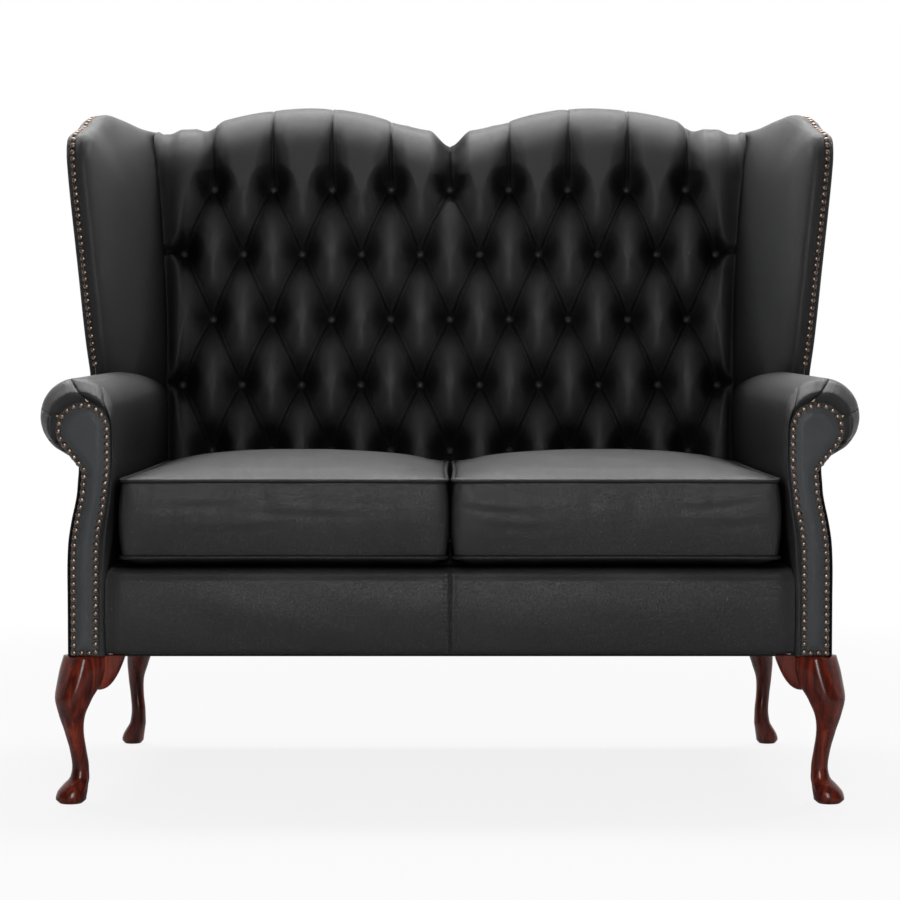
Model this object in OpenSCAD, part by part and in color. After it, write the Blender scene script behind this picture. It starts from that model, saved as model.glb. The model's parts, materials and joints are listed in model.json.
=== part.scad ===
// High-backed two-seat wing sofa with scroll arms, a diamond-buttoned back and cabriole legs.
// Millimetres. X is to the sitter's left as seen from the front, Y to the back, Z up from the floor.
// The origin is on the floor, under the middle of the sofa's outer box.

/* [Base] */
// Width across the base at its front corners
base_w = 1152; // [1000:4:1400]
// Height of the legs, from the floor to the frame
leg_h = 222; // [160:2:260]
// Height of the wooden seat rails
rail_h = 100; // [80:2:130]
// Thickness of the wooden seat rails
rail_t = 25; // [20:1:30]
// Thickness of the pad on the seat frame, under the cushions
deck_t = 30; // [20:1:45]
// Angle by which each arm turns in towards the back
arm_angle = 2.6; // [0:0.1:4]

/* [Seat cushions] */
// Depth of a seat cushion, front to back
cushion_d = 528; // [480:2:600]
// Thickness of a seat cushion at its edges
cushion_t = 116; // [90:2:150]
// Rise of a cushion's crown above its edges
crown_h = 27; // [10:1:45]
// How far a cushion's border pulls in between its corners
draw_in = 7; // [2:1:16]
// Diameter of the piping
piping_d = 7; // [5:0.5:12]
// How far the cushions stand out in front of the arm fronts
cushion_out = 4; // [0:1:20]

/* [Arms] */
// Height of the centre of the arm's roll above the floor
roll_z = 584; // [520:2:640]
// Radius of the arm's roll
roll_r = 57.5; // [48:0.5:66]
// Distance from the base's side in to the centre of the roll
roll_in = 13; // [4:1:22]
// Thickness of the arm at its slim waist
waist_t = 54; // [46:1:64]
// Distance from the base's side in to the waist's outside
waist_in = 18; // [10:1:26]
// Thickness of the stuffing round the roll
roll_pad = 18; // [8:0.5:22]
// Thickness of the stuffing on the inside of the arm
side_pad = 19; // [6:0.5:24]
// Thickness of the front arm post
post_t = 30; // [22:1:40]
// How far the arm facing stands out in front of the arm
facing_t = 6; // [3:0.5:10]

/* [Back] */
// Lean of the back from upright
lean = 10.5; // [6:0.5:15]
// Height of the crest at its two humps
crest_z = 1090; // [980:2:1200]
// Drop of the crest from the humps to the middle
dip_h = 44; // [20:1:70]
// Height of the padded crest over its rail
crest_t = 34; // [20:1:45]
// Depth of the buttoning, from the tops of the tufts to the buttons
tuft_d = 42; // [24:1:50]
// Thickness of the foam behind the buttoned cover
back_foam_t = 25; // [15:1:50]
// Thickness of the back frame's wood
back_rail_t = 33; // [25:1:40]
// Distance of the outermost buttons from the arms
button_side = 24.9; // [15:0.1:60]
// Spacing of the rows of buttons, up the back
row_gap = 113.5; // [95:0.5:125]
// Distance of the top row of buttons below the crest's humps
top_row_drop = 145; // [110:2:180]
// Diameter of a button
button_d = 15; // [10:0.5:20]

/* [Wings] */
// Depth of a wing, from its front edge to the rear of the back
wing_l = 391.8; // [320:0.2:460]
// Distance from the base's side in to a wing's outer face at its rear
wing_in = 86.4; // [60:0.2:100]
// Angle by which a wing flares out towards its front
wing_flare = 15; // [8:0.5:18]
// Angle by which a wing leans out towards its top
wing_lean = 6.3; // [2:0.1:9]
// Height of a wing above the arm's roll
wing_h = 424; // [360:2:500]
// Thickness of the wing's wooden board
wing_board_t = 20; // [14:1:26]
// Thickness of the wing's stuffing
wing_pad_t = 31; // [16:1:40]

/* [Nails and leather] */
// Thickness of the leather
hide_t = 2.5; // [1.5:0.1:3.5]
// Diameter of a decorative nail's head
nail_d = 9.5; // [6:0.5:12]
// Spacing of the decorative nails
nail_gap = 11.6; // [10:0.1:30]
// Length of a decorative nail's shank
nail_l = 13; // [8:1:20]

/* [Legs] */
// Width of a front leg at its knee
knee_w = 58; // [46:1:70]
// Diameter of the bolts that hold the legs
bolt_d = 8; // [6:1:10]

/* [Hidden] */

// Clearances
soft_gap = 0.8;      // a soft piece to its neighbour
seat_gap = 0.3;      // a piece to what carries it
wood_gap = 0.15;     // a bolt or insert in its hole, all round
cut_over = 5;        // overrun of a cut
far = base_w;        // longer than any piece that is cut

// Heights
web_t = 1.6;         // thickness of one webbing strap
web_w = 50;          // width of a webbing strap
rail_top = leg_h + rail_h;
deck_z = rail_top + 2 * web_t;
deck_top = deck_z + deck_t;
base_half = base_w / 2;

// The arm in its own frame: x = 0 at the side of the base, y from the arm fronts, z from the floor
roll_x = -roll_in;
waist_out = -waist_in;
inner_x = waist_out - waist_t;
core_x = inner_x + hide_t + side_pad;        // inner face of the arm post
core_r = roll_r - hide_t - roll_pad;         // radius of the wood inside the roll
post_y = facing_t + hide_t;                  // front of the arm post, behind the facing
rail_y = post_y + post_t;                    // back of the arm post
arm_top = roll_z + roll_r;
tuck_share = 0.235;                          // drop of the tuck below the roll, of its radius
tuck_z = roll_z - roll_r * (1 + tuck_share);
// Outside of the arm, floor line to tuck: shares of the waist's set-in and of the height
side_shares = [[0, 0], [0, 0.3], [0, 0.48], [0.1, 0.6], [0.24, 0.66], [0.42, 0.72], [0.66, 0.785],
    [0.84, 0.845], [0.92, 0.905], [1, 0.965], [1, 1]];
// Inside of the arm, waist to deck: shares of the waist's inside and of the height over the deck
inside_shares = [[1, 1], [1, 0.66], [0.958, 0.44], [0.9, 0.24], [0.82, 0.08], [0.79, 0]];
arc_n = 28;                                  // sides of a full circle on a roll

// The back in its own frame: w is the depth behind the tops of the tufts, s the way up the slope
back_y = cushion_d - cushion_out + 12 / 528 * cushion_d;
cover_t = tuft_d + 3 / 42 * tuft_d;
foam_w = cover_t;
webs_w = foam_w + back_foam_t;
frame_w = webs_w + 2 * web_t;
rear_w = frame_w + back_rail_t;
skin_w = rear_w + hide_t;
ca = cos(lean);
sa = sin(lean);
function back_point(w, s) = [back_y + w * ca + s * sa, deck_top - w * sa + s * ca];
crest_s = (crest_z - deck_top + skin_w / 2 * sa) / ca;        // way up the slope to the humps
floor_s = (leg_h - deck_top) / ca;           // way down to the frame's underside in front
crest_share = dip_h / ca;
// Crest line: share of the half width, share of the dip below the humps
crest_shares = [[0, 1], [0.1, 0.9], [0.2, 0.5], [0.3, 0.2], [0.4, 0.03], [0.48, 0], [0.56, 0.05],
    [0.66, 0.2], [0.76, 0.46], [0.86, 0.82], [0.92, 0.84], [1, 0.76], [1.3, 0.7]];
// Underside of the padded crest, over the rail, foam and cover
function crest_low(x) = crest_line(x) - crest_t - 4 * seat_gap;
function crest_line(x) = crest_s - crest_share * lookup(abs(x) / crest_half, crest_shares);

// Wings: the outer face's foot at the front edge, and the plane of the wing
wing_x = base_half - wing_in + wing_l * sin(wing_flare);
wing_z = arm_top;
board_x = -hide_t - wing_board_t;            // inner face of the wing board
wing_t = -board_x + wing_pad_t;              // whole thickness of a wing
wing_cut = roll_r * 1.2;                     // how far the wing's outline runs down into the arm
cf = cos(wing_flare);
sf = sin(wing_flare);
cl = cos(wing_lean);
sl = sin(wing_lean);
// X of a face of the left wing that lies t inside the outer face
function wing_face(t, y, z) = wing_x
    + (-t - sf * cl * (y - wing_back) + sl * (z - wing_z)) / (cf * cl);
// X of the arm's inner face
function arm_face(y) = base_half + inner_x * cos(arm_angle) - y * tan(arm_angle);
rear_top = back_point(rear_w, crest_s);
wing_d = wing_l;
wing_back = rear_top[0] - wing_l * cf;       // from the arm fronts back to the wing's front edge
// Outline of a wing, front foot to rear: shares of its depth and of its height
wing_shares = [[0.012, 0], [0, 0.12], [0, 0.4], [0.004, 0.76], [0.016, 0.85], [0.045, 0.905],
    [0.09, 0.925], [0.16, 0.945], [0.24, 0.98], [0.33, 1], [0.5, 0.99], [0.75, 0.965], [1.15, 0.96]];
wing_outline = [for (p = wing_shares) [p[0] * wing_d, p[1] * wing_h]];
edge_w = 14 / 42 * tuft_d;                   // how far the back's side edges round back
// Half width of the back at a way up the slope: against the arms, then against the wings
function back_side(s) = let (p = back_point(edge_w, s), q = back_point(edge_w, 0))
    (p[1] < arm_top - roll_r * 0.4 ? arm_face(q[0]) : wing_face(wing_t, p[0], p[1])) + hide_t;
crest_half = back_side(crest_s) - edge_w / 3;
// Spacing of the buttons along a row, from what lies free between the arms and the back's posts
fill_s = (wing_z - wing_cut - deck_top) / ca;
button_gap = (min(back_side(0), stile_out(fill_s)) - button_side) / 4.5;

// Where the box round the whole sofa lies: the toes in front, the top of the back behind
leg_in = knee_w * 0.42;                      // a leg's centre line in from the base's corner
toe_share = 0.365;                           // how far a toe swings out, of the knee's width
toe_out = knee_w * (toe_share + 0.376) - leg_in;
rear_y = back_point(skin_w, crest_s - crest_t)[0];
front_y = -(rear_y - toe_out) / 2;

// Points and solids
function ring_arc(c, r, a0, a1, n) =
    [for (i = [0 : n]) let (a = a0 + (a1 - a0) * i / n) c + r * [cos(a), sin(a)]];
function path_len(p, i = 0) = i >= len(p) - 1 ? 0 : norm(p[i + 1] - p[i]) + path_len(p, i + 1);
function along(p, d, i = 0) = let (l = norm(p[i + 1] - p[i]))
    d <= l || i >= len(p) - 2 ? [p[i] + (p[i + 1] - p[i]) * d / l, (p[i + 1] - p[i]) / l]
    : along(p, d - l, i + 1);
function flat(a) = [for (r = a) for (p = r) p];
function middle(ring) = [for (p = ring) 1] * ring / len(ring);
// A closed solid through rings of equal counts, with flat ends
module loft(rings) {
    n = len(rings[0]);
    m = len(rings);
    polyhedron(points = concat(flat(rings), [middle(rings[0]), middle(rings[m - 1])]), faces = concat(
        [for (i = [0 : n - 1]) [i, (i + 1) % n, n * m]],
        [for (k = [0 : m - 2]) for (i = [0 : n - 1]) let (j = (i + 1) % n)
            each [[k * n + i, (k + 1) * n + i, k * n + j], [k * n + j, (k + 1) * n + i, (k + 1) * n + j]]],
        [for (i = [0 : n - 1]) [(m - 1) * n + (i + 1) % n, (m - 1) * n + i, n * m + 1]]));
}
// A closed tube round a closed path in a level plane
module ring_tube(path, r, sides) {
    n = len(path);
    points = [for (i = [0 : n - 1]) let (a = path[(i + n - 1) % n], b = path[(i + 1) % n],
        d = (b - a) / norm(b - a), out = [d[1], -d[0], 0])
        [for (k = [0 : sides - 1]) path[i] + r * (cos(k * 360 / sides) * out
            + [0, 0, sin(k * 360 / sides)])]];
    polyhedron(points = flat(points), faces = [for (i = [0 : n - 1]) for (k = [0 : sides - 1])
        let (j = (i + 1) % n, l = (k + 1) % sides)
        each [[i * sides + k, i * sides + l, j * sides + k], [j * sides + k, i * sides + l, j * sides + l]]]);
}

// Frames of reference
module on_left() { children(); }
module on_right() { mirror([1, 0, 0]) children(); }
module arm_frame() { translate([base_half, 0, 0]) rotate([0, 0, arm_angle]) children(); }
module back_frame() { translate([0, back_y, deck_top]) rotate([-lean, 0, 0]) children(); }
module wing_frame() {
    translate([wing_x, wing_back, wing_z]) rotate([0, 0, wing_flare]) rotate([0, wing_lean, 0])
        children();
}
// Turns an outline of x and z into a slab from y0, d deep
module slab_y(y0, d) { translate([0, y0 + d, 0]) rotate([90, 0, 0]) linear_extrude(d) children(); }
// Turns an outline of y and z into a slab from x0, d thick
module slab_x(x0, d) { translate([x0, 0, 0]) rotate([90, 0, 90]) linear_extrude(d) children(); }
module behind(w) {
    back_frame() translate([-far, w, -far]) cube([2 * far, far, 3 * far]);
}

// Outlines of the arm, as x and z, set in by e
function side_points(e) =
    [for (p = side_shares) [p[0] * waist_out - e, leg_h + p[1] * (tuck_z - leg_h)]];
function inside_points(e) =
    [for (p = inside_shares) [p[0] * inner_x + e, deck_z + p[1] * (roll_z - deck_z)]];
module arm_shape(e) {
    hull() {
        translate([roll_x, roll_z]) circle(roll_r - e, $fn = arc_n);
        polygon([[waist_out - e, tuck_z + e], [waist_out - e, roll_z], [roll_x, roll_z]]);
    }
    polygon(concat(side_points(e), [[roll_x, roll_z]], inside_points(e),
        [[inside_shares[5][0] * inner_x + e, leg_h]]));
}
module core_shape(g) {
    translate([roll_x, roll_z]) circle(core_r + g, $fn = arc_n);
    polygon(concat(side_points(hide_t - g), [[waist_out - hide_t + g, roll_z], [core_x - g, roll_z],
        [core_x - g, leg_h]]));
}
arm_l = rear_y;
// The whole arm, grown by g, and what its stuffing and cover leave free for the frame
module arm_solid(g) {
    arm_frame() slab_y(facing_t, arm_l) offset(delta = g) arm_shape(0);
}
module below_deck() {
    translate([-far, -far, -far]) cube([3 * far, 3 * far, far + deck_z + seat_gap]);
}

// The front facing of the arm
facing_in = 3.5;
head_share = 0.73;
head_shares = [-0.19, -0.33];
head_c = [roll_x + head_shares[0] * roll_r, roll_z + head_shares[1] * roll_r];
facing_shares = [[0.66, 0], [0.66, 0.06], [0.672, 0.44], [0.7, 0.508], [0.757, 0.572],
    [0.812, 0.613], [0.854, 0.68], [0.91, 0.773], [0.92, 0.87]];
function facing_line(e) = concat(
    [for (i = [0 : 9]) let (p = side_shares[i])
        [p[0] * waist_out - facing_in - e, leg_h + p[1] * (tuck_z - leg_h) + (i == 0 ? e : 0)]],
    ring_arc(head_c, head_share * roll_r - e, -48, 180, 16),
    [for (i = [8 : -1 : 0]) let (p = facing_shares[i])
        [p[0] * inner_x + e, leg_h + p[1] * (roll_z - leg_h) + (i == 0 ? e : 0)]]);

// The outline of the back frame's posts, as x and s
stile_w = 33;
rail_s = (rail_top - deck_top) / ca;
function stile_out(s) = let (p = back_point(rear_w, s))
    wing_face(-board_x, p[0], p[1]) - seat_gap;
function stile_in(s) = max(stile_out(s) - stile_w, 4.5 * button_gap + button_d * 0.6);
function rear_core(s) = let (p = back_point(frame_w, s))
    base_half + core_x - p[0] * tan(arm_angle) + waist_in / 6;
stile_top = crest_low(0.92 * crest_half) - seat_gap;
module post_shape(g) {
    offset(delta = g) polygon([
        [stile_in(fill_s), rail_s + seat_gap], [rear_core(rail_s), rail_s + seat_gap],
        [rear_core(fill_s), fill_s - wing_cut / 10], [stile_out(fill_s), fill_s - wing_cut / 10],
        for (k = [0 : 4]) let (s = fill_s + (stile_top - fill_s) * k / 4) [stile_out(s), s],
        for (k = [4 : -1 : 0]) let (s = fill_s + (stile_top - fill_s) * k / 4) [stile_in(s), s]]);
}
// Turns an outline of x and s into a slab of the back from w0, d deep
module slab_w(w0, d) { back_frame() slab_y(w0, d) children(); }
module post_block(g) { slab_w(frame_w - g, back_rail_t + 2 * g) post_shape(g); }
// Columns and rows of the tufted cover's grid, and where its lowest row lies
cols_n = 18;
row_low_n = -2;
row_high_n = 10;
foam_s = frame_w * tan(lean) + soft_gap;
// The space of the back's stuffing, its crest and its frame between the wings
back_rows = concat([0], [for (j = [row_low_n : row_high_n]) cover_s(cols_n + 1, j)], [crest_s + crest_t]);
module back_block(g) {
    slab_w(edge_w - 3 * g, far) polygon(concat(
        [for (s = back_rows) [back_side(s) + g, s]],
        [for (k = [len(back_rows) - 1 : -1 : 0]) [-back_side(back_rows[k]) - g, back_rows[k]]]));
}

// Frame
border_y = facing_t - hide_t;
border_pad_t = 6;
front_rail_y = facing_t + border_pad_t;
module front_rail() {
    l = base_half + core_x - (front_rail_y + rail_t) * tan(arm_angle) - seat_gap;
    color("burlywood") translate([-l, front_rail_y, border_low + hide_t])
        cube([2 * l, rail_t, rail_top - border_low - hide_t]);
}
rear_half = base_half - hide_t - back_point(rear_w, rail_s)[0] * tan(arm_angle) - 2 * seat_gap;
rear_leg_x = rear_half - knee_w * 0.34;
rear_leg_y = back_point(frame_w + back_rail_t / 2, floor_s)[0];
front_leg_x = base_half - leg_in;
front_leg_y = leg_in;
bolt_l = 40;
insert_r = bolt_d;
insert_l = 2.5 * bolt_d;
module bolt_hole() {
    translate([0, 0, -cut_over]) cylinder(r = insert_r + wood_gap, h = insert_l + cut_over, $fn = 24);
    cylinder(d = bolt_d + 2 * wood_gap, h = bolt_l + wood_gap, $fn = 24);
}
module rear_rail() {
    color("burlywood") difference() {
        back_frame() translate([-rear_half, frame_w, floor_s - rail_t])
            cube([2 * rear_half, back_rail_t, rail_s - floor_s + rail_t]);
        translate([-far, -far, -far]) cube([2 * far, 3 * far, far + leg_h]);
        for (side = [-1, 1]) translate([side * rear_leg_x, rear_leg_y, leg_h]) bolt_hole();
    }
}
module side_rail() {
    color("burlywood") difference() {
        arm_frame() translate([-hide_t - rail_t, rail_y + seat_gap, leg_h])
            cube([rail_t, arm_l, rail_h]);
        behind(frame_w - seat_gap);
    }
}
module arm_post() {
    color("burlywood") difference() {
        arm_frame() slab_y(post_y, post_t) core_shape(0);
        translate([front_leg_x, front_leg_y, leg_h]) bolt_hole();
    }
}
module arm_rail() {
    color("burlywood") difference() {
        arm_frame() slab_y(rail_y + seat_gap, arm_l) translate([roll_x, roll_z])
            circle(core_r, $fn = arc_n);
        behind(frame_w - seat_gap);
    }
}
module back_post() {
    color("burlywood") {
        slab_w(frame_w, back_rail_t) post_shape(0);
        difference() {
            arm_frame() slab_y(facing_t, arm_l) core_shape(0);
            translate([-far, -far, -far])
                cube([3 * far, 3 * far, far + rail_top + seat_gap]);
            behind(rear_w);
            difference() {
                translate([-far, -far, -far]) cube([3 * far, 3 * far, 3 * far]);
                behind(frame_w);
            }
        }
    }
}
module side_rail_left() { on_left() side_rail(); }
module side_rail_right() { on_right() side_rail(); }
module arm_post_left() { on_left() arm_post(); }
module arm_post_right() { on_right() arm_post(); }
module arm_rail_left() { on_left() arm_rail(); }
module arm_rail_right() { on_right() arm_rail(); }
module back_post_left() { on_left() back_post(); }
module back_post_right() { on_right() back_post(); }
module back_top_rail() {
    low = crest_s - top_row_drop + button_d;
    color("burlywood") slab_w(frame_w, back_rail_t) polygon(concat(
        [for (k = [-16 : 16]) let (x = k / 16 * (stile_in(stile_top) - seat_gap))
            [x, crest_low(x)]],
        [[stile_in(low) - seat_gap, low], [-stile_in(low) + seat_gap, low]]));
}
module back_lower_rail() {
    z0 = row_gap * 0.3;
    l = stile_in(z0) - seat_gap;
    color("burlywood") slab_w(frame_w, back_rail_t)
        polygon([[-l, z0], [l, z0], [l, z0 + rail_t * 2], [-l, z0 + rail_t * 2]]);
}
block_l = 70;
module corner_blocks() {
    color("burlywood") for (side = [-1, 1])
        translate([side * (base_half + core_x - stile_w), front_rail_y + rail_t, leg_h])
            linear_extrude(rail_h * 0.8)
                polygon([[0, 0], [-side * block_l, 0], [side * (stile_w - rail_t / 2), block_l * 0.6],
                    [side * (stile_w - rail_t / 2), post_t - rail_t + facing_t]]);
}
wing_closed = concat(wing_outline, [[1.15 * wing_d, -wing_cut], [wing_shares[0][0] * wing_d, -wing_cut]]);
module wing_board() {
    color("burlywood") difference() {
        wing_frame() slab_x(board_x, wing_board_t) offset(delta = -hide_t) polygon(wing_closed);
        behind(rear_w);
        arm_frame() slab_y(facing_t, 2 * arm_l) core_shape(seat_gap);
    }
}
module wing_board_left() { on_left() wing_board(); }
module wing_board_right() { on_right() wing_board(); }

// Suspension and seat
strap_n = 8;
deck_share = 0.86;                           // the arm's inside at the deck's top
function deck_half(y) = base_half + deck_share * inner_x - y * tan(arm_angle) - soft_gap;
deck_back = back_point(frame_w, (deck_z - deck_top) / ca)[0] - seat_gap;
module seat_webbing() {
    y0 = front_rail_y;
    color("khaki") {
        for (k = [0 : strap_n - 1]) translate([(k - (strap_n - 1) / 2) * 2.4 * web_w - web_w / 2, y0,
            rail_top]) cube([web_w, deck_back - y0, web_t]);
        for (k = [0 : 3]) let (y = y0 + rail_t * 2 + k * (deck_back - 5 * rail_t) / 3.4)
            translate([-deck_half(y + web_w), y, rail_top + web_t])
                cube([2 * deck_half(y + web_w), web_w, web_t]);
    }
}
border_top = rail_top + 0.7 * deck_t + web_t * 2;
border_r = 14;
border_d = 60;
module border_profile(e, low) {
    polygon([[border_y + e, low], [border_y + e, border_top - e / 2],
        [border_y + border_r * 0.35 + e / 2, deck_top - border_r * 0.3 - e / 2],
        [border_y + border_r + e / 2, deck_top - e], [border_y + border_d, deck_top - e],
        [border_y + border_d, deck_z], [front_rail_y - seat_gap, deck_z],
        [front_rail_y - seat_gap, low]]);
}
border_low = leg_h + 7;
border_half = base_half + inside_shares[4][0] * inner_x - 3 * seat_gap;
seam_w = 1.2;
module border_half_profile(e, g) {
    inner = deck_half(border_d) - g;
    slab_x(seam_w / 2, inner - seam_w / 2) border_profile(e, border_low);
}
module border_cover() {
    color("dimgray") for (side = [0, 1]) mirror([side, 0, 0]) {
        difference() {
            border_half_profile(0, 0);
            translate([-far / 2, 0, 0]) slab_x(0, far) difference() {
                border_profile(hide_t, -far);
            }
        }
        translate([seam_w / 2, border_y, border_low])
            cube([border_half - seam_w / 2, hide_t, border_top - border_low]);
    }
}
module border_pad() {
    l = deck_half(border_d) - soft_gap;
    color("white") translate([-l, 0, 0]) slab_x(0, 2 * l) border_profile(hide_t + seat_gap, border_low);
}
module seat_deck() {
    y0 = border_y + border_d + seat_gap;
    color("white") translate([0, 0, deck_z]) linear_extrude(deck_t) polygon([
        [-deck_half(y0), y0], [deck_half(y0), y0], [deck_half(deck_back), deck_back],
        [-deck_half(deck_back), deck_back]]);
}
module dust_cover() {
    a = leg_in + knee_w * 0.6;
    x1 = rear_half - rail_t / 2;
    y1 = rear_leg_y - knee_w * 0.4;
    color("black") translate([0, 0, leg_h - web_t]) linear_extrude(web_t - seat_gap / 3) polygon([
        [-front_leg_x + a, front_rail_y + rail_t / 3], [front_leg_x - a, front_rail_y + rail_t / 3],
        [x1 - a, y1], [-x1 + a, y1]]);
}

// Back stuffing, cover and buttons
function button_s(k) = crest_s - top_row_drop - k * row_gap;
function button_xs(k) = k % 2 == 0 ? [for (i = [-4 : 4]) i * button_gap]
    : [for (i = [-5 : 4]) (i + 0.5) * button_gap];
module back_foam() {
    color("white") slab_w(foam_w + seat_gap, back_foam_t - 2 * seat_gap) polygon(concat(
        [for (k = [-16 : 16]) let (x = k / 16 * (back_side(stile_top) - soft_gap))
            [x, crest_low(x)]],
        [for (k = [8 : -1 : 0]) let (t = foam_s + k * stile_top / 9) [back_side(t) - soft_gap, t]],
        [for (k = [0 : 8]) let (t = foam_s + k * stile_top / 9) [-back_side(t) + soft_gap, t]]));
}
module back_webbing() {
    top = crest_s - top_row_drop + 2 * button_d;
    x1 = stile_out(fill_s) - 2 * seat_gap;
    color("khaki") for (k = [0 : 3]) {
        slab_w(webs_w, web_t) translate([-x1, button_s(k + 1) - web_w * 0.4]) square([2 * x1, web_w]);
    }
    color("khaki") for (i = [-4 : 4]) {
        slab_w(webs_w + web_t, web_t) translate([i * button_gap - web_w * 0.7, row_gap * 0.35])
            square([web_w * 0.9, top - row_gap * 0.35]);
    }
}
// The tufted cover on a grid of quarter columns and half rows. Shares of the buttoning's depth:
// at a button, on a pleat, between a button and a tuft's top, over a button, on an upright pleat
tuft_shares = [1, 0.72, 0.3, 0.28, 0.62, 0.34];
function cover_s(i, j) = let (x = i * button_gap / 4, top = crest_low(x))
    j == row_low_n ? foam_s : j == row_high_n ? top
    : j == row_high_n - 1 ? (button_s(0) + top) / 2 : button_s(4) + j * row_gap / 2;
function cover_depth(i, j) = let (a = (i + 40) % 4, b = (j + 40) % 4, c = (i - j + 80) % 4)
    j >= row_high_n - 1 || j < 0
    ? (a == 0 ? tuft_shares[j == row_high_n ? 5 : 4] : a == 2 ? 0 : tuft_shares[3] * 0.6)
    : b % 2 == 0 ? (c == 0 ? tuft_shares[0] : c == 2 ? 0 : tuft_shares[2])
    : (a % 2 == 1 ? tuft_shares[1] : tuft_shares[3]);
function cover_point(i, j) = let (t = cover_s(i, j))
    abs(i) > cols_n ? [sign(i) * (back_side(t) - 2 * soft_gap), edge_w, t]
    : [i * button_gap / 4, cover_depth(i, j) * tuft_d, t];
module back_cover() {
    n = 2 * cols_n + 3;
    m = row_high_n - row_low_n + 1;
    front = [for (j = [row_low_n : row_high_n]) for (i = [-cols_n - 1 : cols_n + 1]) cover_point(i, j)];
    rim = concat([for (i = [0 : n - 1]) i], [for (j = [1 : m - 1]) j * n + n - 1],
        [for (i = [n - 2 : -1 : 0]) (m - 1) * n + i], [for (j = [m - 2 : -1 : 1]) j * n]);
    r = len(rim);
    o = n * m;                               // first of the rear points, which follow the rim
    mid = o + r;                             // first of a straight row behind the top buttons
    t = m - 3;
    rear = concat([for (k = rim) [front[k][0], cover_t, front[k][2]]],
        [for (i = [1 : n - 2]) [front[t * n + i][0], cover_t, front[t * n + i][2]]]);
    color("dimgray") back_frame() polyhedron(points = concat(front, rear), faces = concat(
        [for (j = [0 : m - 2]) for (i = [0 : n - 2]) let (a = j * n + i, b = a + 1, c = a + n, d = c + 1)
            each (i - cols_n - 1 + j + row_low_n) % 2 == 0 ? [[a, d, b], [a, c, d]] : [[a, c, b], [b, c, d]]],
        [for (k = [0 : r - 1]) let (l = (k + 1) % r) each
            [[rim[k], rim[l], o + k], [rim[l], o + l, o + k]]],
        [for (i = [1 : n - 3]) let (k = mid + i - 1, top = o + 2 * n + m - 3 - i) each
            [[o + i, o + i + 1, k], [o + i + 1, k + 1, k], [k, k + 1, top], [k + 1, top - 1, top]]],
        [[o, o + 1, o + r - 1], [o + n, o + n - 2, o + n - 1]],
        [for (j = [1 : t - 1]) each [[o + r - j, o + 1, o + r - j - 1],
            [o + n + j, o + n - 2, o + n - 1 + j]]],
        [[o + r - t, o + 1, mid], [o + n - 1 + t, mid + n - 3, o + n - 2]],
        [[o + r - t, mid, o + r - t - 1], [o + r - t - 1, mid, o + 2 * n + m - 4],
            [o + r - t - 1, o + 2 * n + m - 4, o + 2 * n + m - 3]],
        [[o + n - 1 + t, o + n + t, mid + n - 3], [o + n + t, o + n + m - 1, mid + n - 3],
            [o + n + t, o + n + m - 2, o + n + m - 1]]));
}
button_t = 7;
module at_buttons() {
    for (k = [0 : 4]) for (x = button_xs(k)) back_frame() translate([x, tuft_d, button_s(k)])
        rotate([90, 0, 0]) children();
}
module back_buttons() {
    color("black") at_buttons() translate([0, 0, seat_gap]) {
        cylinder(d1 = button_d, d2 = button_d * 0.6, h = button_t, $fn = 8);
    }
}
tie_d = 2;
toggle_t = 2.5;
module button_ties() {
    l = frame_w - tuft_d + seat_gap;
    color("white") at_buttons() {
        translate([0, 0, -l]) cylinder(d = tie_d, h = l, $fn = 4);
        translate([0, 0, -l - toggle_t]) cylinder(d = button_d * 0.7, h = toggle_t, $fn = 6);
    }
}
module crest_roll() {
    x1 = back_side(stile_top) - seat_gap;
    color("dimgray") back_frame() loft([for (k = [-16 : 16]) let (x = k / 16 * x1, c = crest_line(x),
        round = k == -16 || k == 16 ? 0.9 : 1)
        [for (a = [180 : -18 : 0]) [x, skin_w / 2 * (1 - cos(a) * round),
            c - crest_t + crest_t * round * pow(sin(a), 0.8)]]]);
}

// Arms
module wing_slot() {
    wing_frame() slab_x(board_x - soft_gap, wing_board_t + 2 * soft_gap)
        offset(delta = -hide_t + soft_gap) polygon(wing_closed);
}
module arm_cuts(g) {
    below_deck();
    behind(rear_w);
    back_block(g);
    post_block(g);
    wing_slot();
}
module arm_pad() {
    color("white") difference() {
        arm_frame() slab_y(post_y + seat_gap, arm_l) difference() {
            arm_shape(hide_t + seat_gap);
            core_shape(seat_gap);
        }
        arm_cuts(soft_gap);
    }
}
module arm_cover() {
    color("dimgray") {
        difference() {
            arm_frame() slab_y(post_y - hide_t / 2, arm_l) difference() {
                arm_shape(0);
                arm_shape(hide_t);
                translate([waist_out - hide_t * 2, leg_h - cut_over]) square([far, tuck_z - leg_h
                    + cut_over]);
            }
            arm_cuts(soft_gap);
        }
        arm_frame() slab_y(facing_t, hide_t) arm_shape(0);
    }
}
module arm_facing() { color("black") arm_frame() slab_y(0, facing_t) polygon(facing_line(0)); }
module outside_arm() {
    color("black") difference() {
        arm_frame() slab_y(post_y + seat_gap, arm_l)
            polygon(concat(side_points(0), [for (i = [10 : -1 : 0]) side_points(hide_t)[i]]));
        behind(rear_w);
    }
}
module arm_pad_left() { on_left() arm_pad(); }
module arm_pad_right() { on_right() arm_pad(); }
module arm_cover_left() { on_left() arm_cover(); }
module arm_cover_right() { on_right() arm_cover(); }
module arm_facing_left() { on_left() arm_facing(); }
module arm_facing_right() { on_right() arm_facing(); }
module outside_arm_left() { on_left() outside_arm(); }
module outside_arm_right() { on_right() outside_arm(); }

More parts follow.
